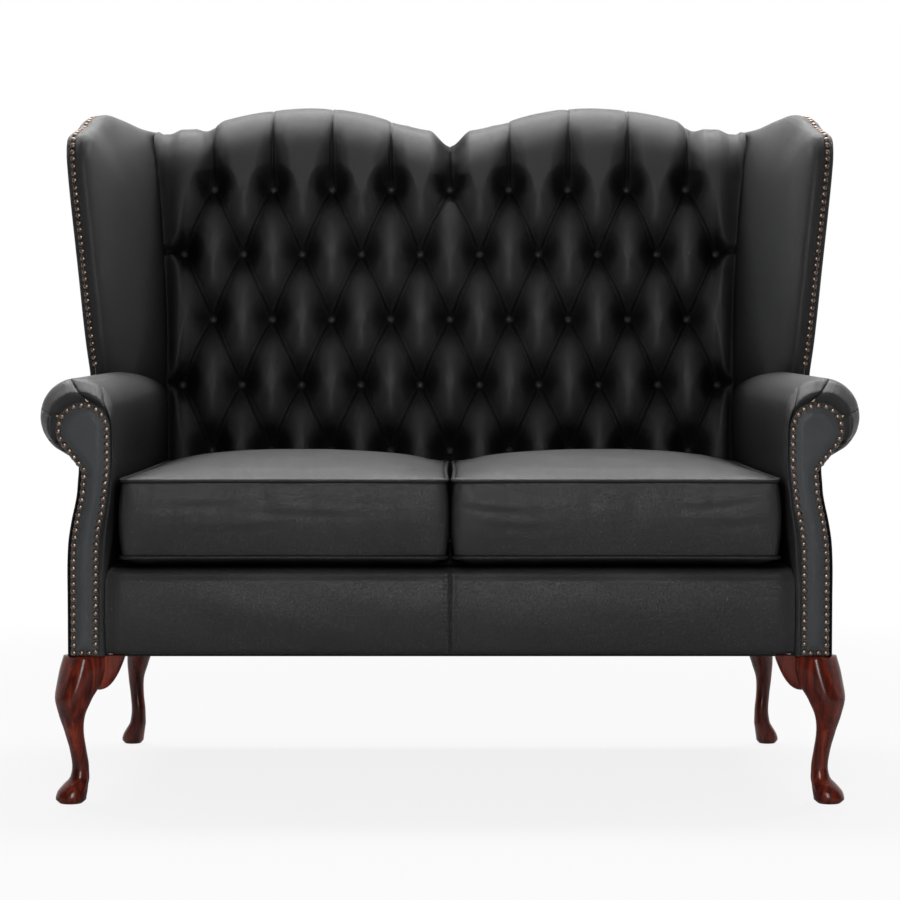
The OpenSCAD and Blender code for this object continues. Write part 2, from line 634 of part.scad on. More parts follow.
// Decorative nails: a domed head towards -Y and a pointed shank
nail_high = nail_d * 0.3;
module nail() {
    r = nail_d / 2;
    q = nail_d * 0.15;
    polyhedron(points = concat([[0, -nail_high, 0]],
        [for (k = [0 : 5]) [r * cos(60 * k), -seat_gap / 3, r * sin(60 * k)]],
        [for (k = [0 : 2]) [q * cos(120 * k), -seat_gap / 3, q * sin(120 * k)]], [[0, nail_l, 0]]),
        faces = concat([for (k = [0 : 5]) [0, 1 + k, 1 + (k + 1) % 6]],
        [for (k = [0 : 2]) let (a = 1 + 2 * k, b = 7 + k, c = 7 + (k + 1) % 3, d = 1 + (2 * k + 2) % 6)
            each [[a, b, a + 1], [a + 1, b, c], [a + 1, c, d]]],
        [for (k = [0 : 2]) [7 + k, 10, 7 + (k + 1) % 3]]));
}
nail_in = nail_d * 0.58;
module facing_nails() {
    p = facing_line(nail_in);
    line = concat(p, [p[0]]);
    n = round(path_len(line) / nail_gap);
    color("goldenrod") arm_frame() for (k = [0 : n - 1])
        let (q = along(line, k * path_len(line) / n)[0]) translate([q[0], 0, q[1]]) nail();
}
module facing_nails_left() { on_left() facing_nails(); }
module facing_nails_right() { on_right() facing_nails(); }

// Wings
function wing_ring(x, e) = let (c = [wing_d * 0.6, wing_h * 0.4]) [for (p = wing_closed)
    let (d = c - p, q = p + d / norm(d) * e) [x, q[0], q[1]]];
pad_shares = [[0, 0], [0.4, 0.05], [0.7, 0.22], [0.9, 0.55], [1, 1]];
wing_round = wing_pad_t * 1.1;
module wing_form(x, t, e) {
    loft([for (p = pad_shares) wing_ring(x - p[0] * t, e + p[1] * wing_round)]);
}
module wing_cuts(g) {
    behind(rear_w);
    back_block(g);
    post_block(g);
    arm_solid(g);
}
module wing_pad() {
    color("white") difference() {
        wing_frame() wing_form(board_x - seat_gap, wing_pad_t - hide_t - 2 * seat_gap, hide_t + seat_gap);
        wing_cuts(soft_gap);
    }
}
module wing_cover() {
    color("dimgray") difference() {
        wing_frame() {
            difference() {
                wing_form(board_x, wing_pad_t, 0);
                wing_form(board_x, wing_pad_t - hide_t, hide_t);
                translate([board_x - cut_over / 2, -far, -far]) cube([far, 2 * far, 2 * far]);
            }
            slab_x(board_x - cut_over / 2, wing_board_t / 2 + cut_over / 2) difference() {
                polygon(wing_closed);
                offset(delta = -hide_t) polygon(wing_closed);
            }
        }
        wing_cuts(soft_gap);
    }
}
module outside_wing() {
    color("black") difference() {
        wing_frame() {
            slab_x(-hide_t, hide_t) polygon(wing_closed);
            slab_x(-hide_t - wing_board_t / 2 + soft_gap, wing_board_t / 2) difference() {
                polygon(wing_closed);
                offset(delta = -hide_t) polygon(wing_closed);
            }
        }
        behind(rear_w);
        arm_solid(soft_gap);
    }
}
module wing_nails() {
    n = floor((path_len(wing_outline) - wing_d * 0.2) / nail_gap);
    color("goldenrod") wing_frame() for (k = [1 : n]) let (q = along(wing_outline, k * nail_gap),
        a = atan2(q[1][1], q[1][0]))
        translate([board_x + wing_board_t / 2, q[0][0], q[0][1]]) rotate([a - 90, 0, 0])
            rotate([0, 0, 0]) nail();
}
module wing_pad_left() { on_left() wing_pad(); }
module wing_pad_right() { on_right() wing_pad(); }
module wing_cover_left() { on_left() wing_cover(); }
module wing_cover_right() { on_right() wing_cover(); }
module outside_wing_left() { on_left() outside_wing(); }
module outside_wing_right() { on_right() outside_wing(); }
module wing_nails_left() { on_left() wing_nails(); }
module wing_nails_right() { on_right() wing_nails(); }
// The outside back is one panel, drawn on the slope of the frame's rear
function panel_s(z) = (z - deck_top + skin_w * sa) / ca;
function panel_arm(x, z) = let (s = panel_s(z), p = back_point(skin_w, s))
    [base_half + x / cos(arm_angle) - p[0] * tan(arm_angle), s];
function panel_wing(t, z) = let (s = panel_s(z), p = back_point(skin_w, s))
    [wing_face(t, p[0], p[1]), s];
tuck_v = [waist_out - roll_x, tuck_z - roll_z];
tuck_a = atan2(tuck_v[1], tuck_v[0]) + acos(roll_r / norm(tuck_v));
wing_top = wing_z + wing_h * wing_shares[12][1] * cl;
panel_half = concat(
    [for (p = side_shares) panel_arm(p[0] * waist_out, leg_h + p[1] * (tuck_z - leg_h))],
    [for (a = [tuck_a : 12 : 170]) let (q = panel_arm(roll_x + roll_r * cos(a), roll_z + roll_r * sin(a)))
        if (q[0] > panel_wing(0, roll_z + roll_r * sin(a))[0]) q],
    [panel_wing(0, arm_top + seat_gap), panel_wing(0, wing_top), panel_wing(-board_x, wing_top),
    [stile_out(stile_top), crest_low(stile_out(stile_top))]],
    [for (k = [15 : -1 : 1]) let (x = k / 16 * stile_out(stile_top)) [x, crest_low(x)]]);
module outside_back() {
    n = len(panel_half);
    color("black") slab_w(rear_w + seat_gap / 3, hide_t) polygon(concat(panel_half,
        [[0, crest_low(0)]], [for (i = [n - 1 : -1 : 0]) [-panel_half[i][0], panel_half[i][1]]]));
}

// Legs: shares of the height, of the knee's width for the swing, and the width's share of the knee
front_shares = [[0, 0.365, 0.62], [0.03, 0.365, 0.8], [0.07, 0.34, 0.79], [0.12, 0.26, 0.66],
    [0.17, 0.16, 0.5], [0.24, 0.14, 0.43], [0.35, 0.19, 0.42], [0.48, 0.28, 0.47],
    [0.6, 0.33, 0.63], [0.7, 0.3, 0.85], [0.8, 0.18, 1], [0.9, 0.08, 1.04], [1, 0, 0.98]];
rear_shares = [[0, 0.34, 0.5], [0.03, 0.34, 0.64], [0.07, 0.31, 0.62], [0.12, 0.24, 0.54],
    [0.17, 0.17, 0.46], [0.26, 0.15, 0.4], [0.38, 0.19, 0.38], [0.5, 0.22, 0.42],
    [0.62, 0.17, 0.56], [0.75, 0.08, 0.68], [0.88, 0.02, 0.72], [1, 0, 0.72]];
function leg_ring(z, swing, w, square) = [for (k = [0 : 11]) let (a = k * 30,
    r = w / 2 / pow(pow(abs(cos(a)), square) + pow(abs(sin(a)), square), 1 / square))
    [swing + r * cos(a), r * sin(a), z]];
module leg(table) {
    n = len(table);
    difference() {
        loft([for (i = [0 : n - 1]) let (p = table[i])
            leg_ring(p[0] * leg_h, p[1] * knee_w * sqrt(2), p[2] * knee_w, 2 + 2 * pow(p[0], 2))]);
        translate([0, 0, leg_h - bolt_l]) cylinder(d = bolt_d + 2 * wood_gap, h = 2 * bolt_l, $fn = 24);
    }
}
// Ears at the knee, against the frame's underside
module knee_ear() {
    w = knee_w * 0.34;
    loft([for (k = [0 : 6]) let (t = k / 6, h = leg_h * (0.02 + 0.22 * (1 - pow(t, 2.4))))
        [for (q = [[-0.5, 0], [-0.5, -0.6], [-0.3, -1], [0.3, -1], [0.5, -0.6], [0.5, 0]])
            [knee_w * (0.3 + 0.72 * t), q[0] * w, leg_h + q[1] * h]]]);
}
module front_leg() {
    color("saddlebrown") translate([front_leg_x, front_leg_y, 0]) {
        rotate([0, 0, -45]) leg(front_shares);
        difference() {
            union() {
                rotate([0, 0, 180]) knee_ear();
                rotate([0, 0, 90]) knee_ear();
            }
            translate([0, 0, leg_h - bolt_l]) cylinder(d = bolt_d + 2 * wood_gap, h = 2 * bolt_l,
                $fn = 24);
        }
    }
}
module rear_leg() {
    color("saddlebrown") translate([rear_leg_x, rear_leg_y, 0]) rotate([0, 0, 45]) leg(rear_shares);
}
module front_leg_left() { on_left() front_leg(); }
module front_leg_right() { on_right() front_leg(); }
module rear_leg_left() { on_left() rear_leg(); }
module rear_leg_right() { on_right() rear_leg(); }
module at_legs() {
    for (side = [-1, 1]) {
        translate([side * front_leg_x, front_leg_y, leg_h]) children();
        translate([side * rear_leg_x, rear_leg_y, leg_h]) children();
    }
}
module leg_bolts() {
    color("silver") at_legs() translate([0, 0, -bolt_l + wood_gap]) cylinder(d = bolt_d,
        h = 2 * bolt_l - wood_gap, $fn = 24);
}
module leg_inserts() {
    color("silver") at_legs() translate([0, 0, wood_gap]) difference() {
        cylinder(r = insert_r, h = insert_l - wood_gap, $fn = 24);
        translate([0, 0, -cut_over]) cylinder(d = bolt_d + 2 * wood_gap, h = insert_l + 2 * cut_over,
            $fn = 24);
    }
}

// Seat cushions: a level ring of the outline, set in by e
welt_r = piping_d / 2;
cushion_back = back_y - hide_t - cushion_out / 4;
bottom_h = 16;
function side_x(y) = base_half + inner_x * 1.035 - y * tan(arm_angle) - soft_gap;
function cushion_ring(e, z) = let (y0 = -cushion_out + e, y1 = cushion_d - cushion_out - e,
    x0 = seat_gap * 3 + e, a = side_x(y0) - e, b = side_x(y1) - e, r = max(12 - e / 3, 2),
    corners = [[x0, y0], [a, y0], [b, y1], [x0, y1]], turn = [180, 270, 0, 90],
    way = [[1, 1], [-1, 1], [-1, -1], [1, -1]], out = [[0, -1], [1, 0], [0, 1], [-1, 0]],
    pull = draw_in * max(0, 1 - e / 60))
    [for (k = [0 : 3]) each let (p = corners[k], q = corners[(k + 1) % 4], c = p + r * way[k])
        concat([for (t = [0, 45, 90]) concat(c + r * [cos(turn[k] + t), sin(turn[k] + t)], [z])],
        [for (t = [0.25, 0.5, 0.75]) concat(p + (q - p) * t - out[k] * pull * sin(180 * t)
            * (k % 2 == 0 ? 1 : 0.4), [z])])];
crown_shares = [[0, 0], [0.06, 0.2], [0.25, 0.5], [0.55, 0.78], [0.9, 0.94], [1.35, 1]];
crown_run = 105;
cushion_z = deck_top + seat_gap;
welt_z = [cushion_z + bottom_h, cushion_z + bottom_h + cushion_t];
cover_in = piping_d + 2 * seat_gap;
function cushion_low(e) = [for (p = [[0.5, 0], [0.25, 0.35], [0.06, 0.75]])
    cushion_ring(cover_in + e + p[0] * crown_run, cushion_z + e + p[1] * (bottom_h - e))];
function cushion_high(e) = concat(
    [cushion_ring(cover_in + e, welt_z[0] + seat_gap),
    cushion_ring(cover_in + e + draw_in * 0.3, (welt_z[0] + welt_z[1]) / 2),
    cushion_ring(cover_in + e, welt_z[1] - e * 0.2)],
    [for (i = [1 : 5]) let (p = crown_shares[i])
        cushion_ring(cover_in + e + p[0] * crown_run, welt_z[1] + p[1] * crown_h - e)]);
// A cup or dish: an outer and an inner skin through rings of equal counts, joined at the first ring
module cup(outer, inner) {
    n = len(outer[0]);
    m = len(outer);
    c = n * m;
    polyhedron(points = concat(flat(outer), flat(inner), [middle(outer[m - 1]), middle(inner[m - 1])]),
        faces = concat(
        [for (i = [0 : n - 1]) let (j = (i + 1) % n) each [[i, j, c + i], [j, c + j, c + i]]],
        [for (k = [0 : m - 2]) for (i = [0 : n - 1]) let (j = (i + 1) % n, a = k * n, b = a + n)
            each [[a + i, b + i, a + j], [a + j, b + i, b + j],
                [c + a + i, c + a + j, c + b + i], [c + a + j, c + b + j, c + b + i]]],
        [for (i = [0 : n - 1]) [(m - 1) * n + (i + 1) % n, (m - 1) * n + i, 2 * c]],
        [for (i = [0 : n - 1]) [c + (m - 1) * n + i, c + (m - 1) * n + (i + 1) % n, 2 * c + 1]]));
}
module cushion_cover() {
    color("gray") {
        cup(cushion_high(0), cushion_high(hide_t));
        loft([cushion_low(0)[0], cushion_low(0)[1], cushion_low(0)[2], cushion_ring(cover_in, welt_z[0])]);
    }
}
module cushion_foam() {
    e = hide_t + seat_gap;
    color("white") loft(cushion_high(e));
}
module cushion_piping() {
    color("black") for (z = welt_z) ring_tube(cushion_ring(welt_r, z), welt_r, 6);
}
module cushion_cover_left() { on_left() cushion_cover(); }
module cushion_cover_right() { on_right() cushion_cover(); }
module cushion_foam_left() { on_left() cushion_foam(); }
module cushion_foam_right() { on_right() cushion_foam(); }
module cushion_piping_left() { on_left() cushion_piping(); }
module cushion_piping_right() { on_right() cushion_piping(); }

translate([0, front_y, 0]) front_rail();
translate([0, front_y, 0]) rear_rail();
translate([0, front_y, 0]) side_rail_left();
translate([0, front_y, 0]) side_rail_right();
translate([0, front_y, 0]) corner_blocks();
translate([0, front_y, 0]) arm_post_left();
translate([0, front_y, 0]) arm_post_right();
translate([0, front_y, 0]) arm_rail_left();
translate([0, front_y, 0]) arm_rail_right();
translate([0, front_y, 0]) back_post_left();
translate([0, front_y, 0]) back_post_right();
translate([0, front_y, 0]) back_top_rail();
translate([0, front_y, 0]) back_lower_rail();
translate([0, front_y, 0]) wing_board_left();
translate([0, front_y, 0]) wing_board_right();
translate([0, front_y, 0]) seat_webbing();
translate([0, front_y, 0]) back_webbing();
translate([0, front_y, 0]) seat_deck();
translate([0, front_y, 0]) border_pad();
translate([0, front_y, 0]) border_cover();
translate([0, front_y, 0]) back_foam();
translate([0, front_y, 0]) back_cover();
translate([0, front_y, 0]) back_buttons();
translate([0, front_y, 0]) button_ties();
translate([0, front_y, 0]) crest_roll();
translate([0, front_y, 0]) arm_pad_left();
translate([0, front_y, 0]) arm_pad_right();
translate([0, front_y, 0]) arm_cover_left();
translate([0, front_y, 0]) arm_cover_right();
translate([0, front_y, 0]) arm_facing_left();
translate([0, front_y, 0]) arm_facing_right();
translate([0, front_y, 0]) facing_nails_left();
translate([0, front_y, 0]) facing_nails_right();
translate([0, front_y, 0]) wing_pad_left();
translate([0, front_y, 0]) wing_pad_right();
translate([0, front_y, 0]) wing_cover_left();
translate([0, front_y, 0]) wing_cover_right();
translate([0, front_y, 0]) wing_nails_left();
translate([0, front_y, 0]) wing_nails_right();
translate([0, front_y, 0]) outside_arm_left();
translate([0, front_y, 0]) outside_arm_right();
translate([0, front_y, 0]) outside_wing_left();
translate([0, front_y, 0]) outside_wing_right();
translate([0, front_y, 0]) outside_back();
translate([0, front_y, 0]) dust_cover();
translate([0, front_y, 0]) front_leg_left();
translate([0, front_y, 0]) front_leg_right();
translate([0, front_y, 0]) rear_leg_left();
translate([0, front_y, 0]) rear_leg_right();
translate([0, front_y, 0]) leg_bolts();
translate([0, front_y, 0]) leg_inserts();
translate([0, front_y, 0]) cushion_cover_left();
translate([0, front_y, 0]) cushion_cover_right();
translate([0, front_y, 0]) cushion_foam_left();
translate([0, front_y, 0]) cushion_foam_right();
translate([0, front_y, 0]) cushion_piping_left();
translate([0, front_y, 0]) cushion_piping_right();
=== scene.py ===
import json
import math
import bmesh
import bpy
import numpy as np
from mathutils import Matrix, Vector
from mathutils.bvhtree import BVHTree


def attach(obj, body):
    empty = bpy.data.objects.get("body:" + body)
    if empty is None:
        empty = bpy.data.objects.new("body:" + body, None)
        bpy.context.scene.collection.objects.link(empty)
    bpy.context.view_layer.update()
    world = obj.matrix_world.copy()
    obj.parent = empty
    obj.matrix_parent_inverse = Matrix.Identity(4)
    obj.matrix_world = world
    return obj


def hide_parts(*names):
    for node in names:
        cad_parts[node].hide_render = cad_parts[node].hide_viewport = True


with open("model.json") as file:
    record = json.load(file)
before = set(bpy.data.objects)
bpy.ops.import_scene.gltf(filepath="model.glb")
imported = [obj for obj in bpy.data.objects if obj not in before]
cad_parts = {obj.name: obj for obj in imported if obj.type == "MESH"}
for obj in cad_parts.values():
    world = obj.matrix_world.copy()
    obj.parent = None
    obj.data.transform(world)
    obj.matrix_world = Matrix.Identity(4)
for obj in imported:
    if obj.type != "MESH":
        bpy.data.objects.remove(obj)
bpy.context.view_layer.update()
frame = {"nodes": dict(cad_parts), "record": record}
print("frame loaded")

# Metres and degrees. The arm fronts lie in the plane y = frontY, and left is the +X side.
sofa = {"frontY": -0.378044, "baseHalf": 0.576, "legH": 0.222, "deckZ": 0.3252, "deckTop": 0.3552,
        "armAngle": 2.6, "lean": 10.5, "hide": 0.0025, "backFoot": 0.536}
ca, sa = math.cos(math.radians(sofa["lean"])), math.sin(math.radians(sofa["lean"]))
armTurn = math.radians(sofa["armAngle"])
armSlope = math.tan(armTurn)


# Meshes
def addObject(name, data):
    obj = bpy.data.objects.new(name, data)
    bpy.context.scene.collection.objects.link(obj)
    return obj


def smoothMesh(name, points, faces):
    mesh = bpy.data.meshes.new(name)
    mesh.from_pydata(points, [], faces)
    mesh.polygons.foreach_set("use_smooth", [True] * len(mesh.polygons))
    return mesh


def meshPiece(name, points, faces):
    mesh = smoothMesh(name, np.asarray(points, float).reshape(-1, 3).tolist(), faces)
    mesh.update()
    return addObject(name, mesh)


def evaluatedMesh(obj):
    return bpy.data.meshes.new_from_object(obj.evaluated_get(bpy.context.evaluated_depsgraph_get()))


def addValues(mesh, name, values):
    mesh.attributes.new(name, "FLOAT", "POINT").data.foreach_set("value", values.ravel())


def gridFaces(rows, cols, wrap=False, flip=False, start=0):
    faces = []
    for j in range(rows - 1):
        for i in range(cols if wrap else cols - 1):
            k = (i + 1) % cols
            quad = (start + j * cols + i, start + j * cols + k,
                    start + (j + 1) * cols + k, start + (j + 1) * cols + i)
            faces.append(quad[::-1] if flip else quad)
    return faces


def closedRings(rows):
    # Rings joined one to the next, each end closed on its own middle
    g = np.array(rows)
    n, last = g.shape[1], (g.shape[0] - 1) * g.shape[1]
    pts = np.vstack([g.reshape(-1, 3), g[0].mean(0), g[-1].mean(0)])
    faces = gridFaces(*g.shape[:2], wrap=True)
    faces += [((i + 1) % n, i, len(pts) - 2) for i in range(n)]
    return pts, faces + [(last + i, last + (i + 1) % n, len(pts) - 1) for i in range(n)]


def mirrored(points, left):
    p = np.array(points, float)
    if not left:
        p[..., 0] *= -1
    return p


def finishPiece(obj, material, nodes, body="sofa_frame"):
    obj.data.materials.clear()
    obj.data.materials.append(material)
    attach(obj, body)
    if nodes:
        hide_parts(*nodes)
    return obj


def weld(obj, distance=1e-5, closeHoles=False):
    work = bmesh.new()
    work.from_mesh(obj.data)
    bmesh.ops.remove_doubles(work, verts=work.verts, dist=distance)
    if closeHoles:
        rim = [e for e in work.edges if e.is_boundary]
        bmesh.ops.holes_fill(work, edges=rim, sides=0)
    bmesh.ops.recalc_face_normals(work, faces=work.faces)
    for f in work.faces:
        f.smooth = True
    work.to_mesh(obj.data)
    work.free()


def cutBehind(obj, point, normal, close=True):
    work = bmesh.new()
    work.from_mesh(obj.data)
    everything = work.verts[:] + work.edges[:] + work.faces[:]
    cut = bmesh.ops.bisect_plane(work, geom=everything, plane_co=point, plane_no=normal,
                                 clear_outer=True, dist=1e-6)
    if close:
        rim = [e for e in cut["geom_cut"] if isinstance(e, bmesh.types.BMEdge) and e.is_valid]
        bmesh.ops.holes_fill(work, edges=rim, sides=0)
    for f in work.faces:
        f.smooth = True
    work.to_mesh(obj.data)
    work.free()


def smoothStep(a, b, x):
    t = np.clip((np.asarray(x, float) - a) / (b - a), 0, 1)
    return t * t * (3 - 2 * t)


def smoothTable(table, x):
    # Monotone cubic through the rows of a table, first column against x
    t = np.array(table, float)
    k, v = t[:, 0], t[:, 1:]
    h = np.diff(k)[:, None]
    d = np.diff(v, axis=0) / h
    m = np.zeros_like(v)
    m[0], m[-1] = d[0], d[-1]
    same = d[:-1] * d[1:] > 0
    w1, w2 = 2 * h[1:] + h[:-1], h[1:] + 2 * h[:-1]
    with np.errstate(divide="ignore", invalid="ignore"):
        inner = (w1 + w2) / (w1 / d[:-1] + w2 / d[1:])
    m[1:-1] = np.where(same, inner, 0)
    x = np.clip(np.asarray(x, float), k[0], k[-1])
    i = np.clip(np.searchsorted(k, x, side="right") - 1, 0, len(k) - 2)
    s = ((x - k[i]) / (k[i + 1] - k[i]))[..., None]
    hh = (k[i + 1] - k[i])[..., None]
    return ((1 + 2 * s) * (1 - s) ** 2 * v[i] + s * (1 - s) ** 2 * hh * m[i]
            + s * s * (3 - 2 * s) * v[i + 1] + s * s * (s - 1) * hh * m[i + 1])


def pathLengths(p):
    return np.concatenate([[0], np.cumsum(np.linalg.norm(np.diff(p, axis=0), axis=1))])


def evenly(p, count):
    p = np.asarray(p, float)
    d = pathLengths(p)
    t = np.linspace(0, d[-1], count)
    return np.stack([np.interp(t, d, p[:, c]) for c in range(p.shape[1])], -1)


def roundLine(p, count):
    # Centripetal Catmull-Rom through the points, then spaced evenly
    p = np.asarray(p, float)
    q = np.vstack([2 * p[0] - p[1], p, 2 * p[-1] - p[-2]])
    out = []
    for i in range(1, len(q) - 2):
        a, b, c, d = q[i - 1:i + 3]
        t = np.cumsum([0, *(max(np.linalg.norm(v) ** 0.5, 1e-6) for v in (b - a, c - b, d - c))])
        s = np.linspace(t[1], t[2], 14, endpoint=False)[:, None]
        a1 = (t[1] - s) / (t[1] - t[0]) * a + (s - t[0]) / (t[1] - t[0]) * b
        a2 = (t[2] - s) / (t[2] - t[1]) * b + (s - t[1]) / (t[2] - t[1]) * c
        a3 = (t[3] - s) / (t[3] - t[2]) * c + (s - t[2]) / (t[3] - t[2]) * d
        b1 = (t[2] - s) / (t[2] - t[0]) * a1 + (s - t[0]) / (t[2] - t[0]) * a2
        b2 = (t[3] - s) / (t[3] - t[1]) * a2 + (s - t[1]) / (t[3] - t[1]) * a3
        out.append((t[2] - s) / (t[2] - t[1]) * b1 + (s - t[1]) / (t[2] - t[1]) * b2)
    return evenly(np.vstack(out + [p[-1:]]), count)


def distanceTo(points, line):
    # Distance of each point of a plane to a polyline
    pts = np.asarray(points, float)
    best = np.full(pts.shape[:-1], 1e9)
    for a, b in zip(line[:-1], line[1:]):
        v = b - a
        t = np.clip(((pts - a) @ v) / max(v @ v, 1e-12), 0, 1)[..., None]
        best = np.minimum(best, np.linalg.norm(pts - a - t * v, axis=-1))
    return best


# Frames of reference, the same as the source's
def backPoint(x, w, s):
    x, w, s = np.broadcast_arrays(x, w, s)
    y = sofa["backFoot"] + w * ca + s * sa + sofa["frontY"]
    return np.stack([x, y, sofa["deckTop"] - w * sa + s * ca], -1)


def armPoint(x, y, z):
    x, y, z = np.broadcast_arrays(x, y, z)
    c, s = math.cos(armTurn), math.sin(armTurn)
    return np.stack([sofa["baseHalf"] + x * c - y * s, x * s + y * c + sofa["frontY"], z], -1)


wing = {"x": 0.591006, "back": 0.399995, "z": 0.6415, "flare": 15.0, "tilt": 6.3, "deep": 0.3918,
        "high": 0.424, "cut": 0.069, "board": 0.0225, "pad": 0.031, "swell": 0.038}
cf, sf = math.cos(math.radians(wing["flare"])), math.sin(math.radians(wing["flare"]))
cl, sl = math.cos(math.radians(wing["tilt"])), math.sin(math.radians(wing["tilt"]))


def wingPoint(x, y, z):
    x, y, z = np.broadcast_arrays(x, y, z)
    x1, z1 = x * cl + z * sl, z * cl - x * sl
    return np.stack([wing["x"] + x1 * cf - y * sf, wing["back"] + x1 * sf + y * cf + sofa["frontY"],
                     wing["z"] + z1], -1)


def wingFace(t, y, z):
    return wing["x"] + (-t - sf * cl * (y - wing["back"]) + sl * (z - wing["z"])) / (cf * cl)


rearPoint = backPoint(0, 0.1062, 0)                # a point of the frame's rear plane
rearNormal = Vector((0, ca, -sa))


# Materials
def give(tree, node, values):
    # Each named input takes a value, or is joined to a socket
    for key, value in values.items():
        if isinstance(value, bpy.types.NodeSocket):
            tree.links.new(value, node.inputs[key])
        else:
            node.inputs[key].default_value = value


def socketNode(tree, kind, place, given=None, **settings):
    node = tree.nodes.new(kind)
    node.location = place
    for key, value in settings.items():
        setattr(node, key, value)
    give(tree, node, given or {})
    return node


def newMaterial(name):
    mat = bpy.data.materials.new(name)
    mat.use_nodes = True
    return mat, mat.node_tree, mat.node_tree.nodes["Principled BSDF"]


def addBump(tree, place, height, distance, strength):
    bumper = socketNode(tree, "ShaderNodeBump", place,
                        {"Distance": distance, "Strength": strength, "Height": height})
    return bumper.outputs["Normal"]


def groupTree(name, inputs, outputs):
    tree = bpy.data.node_groups.new(name, "ShaderNodeTree")
    for label, kind, value in inputs:
        s = tree.interface.new_socket(name=label, in_out="INPUT", socket_type=kind)
        if value is not None:
            s.default_value = value
    for label, kind in outputs:
        tree.interface.new_socket(name=label, in_out="OUTPUT", socket_type=kind)
    start = socketNode(tree, "NodeGroupInput", (-900, 0))
    end = socketNode(tree, "NodeGroupOutput", (900, 0))
    return tree, start, end


def mathNode(tree, operation, a, b, place=(0, 0)):
    return socketNode(tree, "ShaderNodeMath", place, {0: a, 1: b}, operation=operation).outputs[0]


def rampNode(tree, factor, stops, place=(0, 0)):
    node = socketNode(tree, "ShaderNodeValToRGB", place)
    ramp = node.color_ramp
    while len(ramp.elements) < len(stops):
        ramp.elements.new(0.5)
    for e, (at, colour) in zip(ramp.elements, stops):
        e.position = at
        e.color = colour if len(colour) == 4 else (*colour, 1)
    tree.links.new(factor, node.inputs[0])
    return node.outputs[0]


def makeGrain():
    # Leather grain: fine cells over soft creases. Puts out a height and a mask of the hollows
    tree, start, end = groupTree("leatherGrain", [
        ("Vector", "NodeSocketVector", None), ("Cell Scale", "NodeSocketFloat", 650.0),
        ("Crease Scale", "NodeSocketFloat", 34.0), ("Crease Amount", "NodeSocketFloat", 0.5)],
        [("Height", "NodeSocketFloat"), ("Hollows", "NodeSocketFloat"), ("Mottle", "NodeSocketFloat")])
    given = start.outputs
    bend = socketNode(tree, "ShaderNodeTexNoise", (-700, 250),
                      {"Scale": 120, "Detail": 2, "Vector": given["Vector"]})
    shift = socketNode(tree, "ShaderNodeVectorMath", (-520, 250), {0: bend.outputs["Color"], "Scale": 0.0022},
                       operation="SCALE")
    moved = socketNode(tree, "ShaderNodeVectorMath", (-360, 250), {0: given["Vector"], 1: shift.outputs[0]},
                       operation="ADD")
    cells = socketNode(tree, "ShaderNodeTexVoronoi", (-180, 300), feature="DISTANCE_TO_EDGE")
    give(tree, cells, {"Vector": moved.outputs[0], "Scale": given["Cell Scale"]})
    cellRamp = rampNode(tree, cells.outputs["Distance"], [(0.0, (0, 0, 0)), (0.16, (1, 1, 1))], (0, 300))
    crease = socketNode(tree, "ShaderNodeTexNoise", (-180, 0),
                        {"Detail": 5, "Roughness": 0.62, "Vector": given["Vector"],
                         "Scale": given["Crease Scale"]}, noise_dimensions="3D")
    soft = mathNode(tree, "MULTIPLY", crease.outputs["Fac"], given["Crease Amount"], (0, 0))
    height = mathNode(tree, "ADD", mathNode(tree, "MULTIPLY", cellRamp, 0.35, (160, 300)), soft, (330, 150))
    paintedShade = mathNode(tree, "SUBTRACT", 1.0, cellRamp, (330, 350))
    blotch = socketNode(tree, "ShaderNodeTexNoise", (-180, -300),
                        {"Scale": 6, "Detail": 3, "Vector": given["Vector"]})
    give(tree, end, {"Height": height, "Hollows": paintedShade, "Mottle": blotch.outputs["Fac"]})
    return tree


grainGroup = makeGrain()


def makeLeather(name, dark, light, rough, cell=650.0, bump=0.0011, spec=0.08, wax=0.8):
    mat, tree, shader = newMaterial(name)
    coords = socketNode(tree, "ShaderNodeTexCoord", (-900, 0))
    grain = socketNode(tree, "ShaderNodeGroup", (-600, 0), node_tree=grainGroup)
    give(tree, grain, {"Vector": coords.outputs["Object"], "Cell Scale": cell})
    colour = rampNode(tree, grain.outputs["Mottle"], [(0.3, dark), (0.7, light)], (-350, 200))
    hollowTone = rampNode(tree, grain.outputs["Hollows"], [(0.0, (1, 1, 1)), (1.0, (0.45, 0.45, 0.45))],
                          (-350, -20))
    shade = socketNode(tree, "ShaderNodeMix", (-80, 200), data_type="RGBA", blend_type="MULTIPLY")
    give(tree, shade, {"Factor": 0.5, "A": colour, "B": hollowTone})
    # Painted shade: a mesh attribute darkens the colour in hollows, folds and hidden places
    paintedShade = socketNode(tree, "ShaderNodeAttribute", (-600, 450), attribute_name="paintedShade").outputs["Fac"]
    shadeTone = rampNode(tree, paintedShade, [(0.0, (1, 1, 1)), (0.8, (0.25, 0.25, 0.25))], (-350, 450))
    shadedColour = socketNode(tree, "ShaderNodeMix", (100, 300), data_type="RGBA", blend_type="MULTIPLY")
    give(tree, shadedColour, {"Factor": 1.0, "A": shade.outputs["Result"], "B": shadeTone})
    # Painted shade: the coat is dulled too where the leather lies in hollows, folds and hidden places, so they
    # reflect less
    shadeDulledCoat = rampNode(tree, paintedShade, [(0.0, (wax,) * 3), (0.35, (0.45 * wax,) * 3), (0.75, (0.03,) * 3)],
                     (-350, 700))
    roughness = mathNode(tree, "ADD", mathNode(tree, "MULTIPLY", grain.outputs["Mottle"], 0.16, (-350, -250)),
                         rough - 0.08, (-180, -250))
    normal = addBump(tree, (-80, -400), grain.outputs["Height"], bump, 0.75)
    give(tree, shader, {"Base Color": shadedColour.outputs["Result"], "Coat Weight": shadeDulledCoat, "Roughness": roughness,
                        "Normal": normal, "Coat Normal": normal})
    shader.inputs["Specular IOR Level"].default_value = spec
    shader.inputs["Coat Roughness"].default_value = rough
    return mat


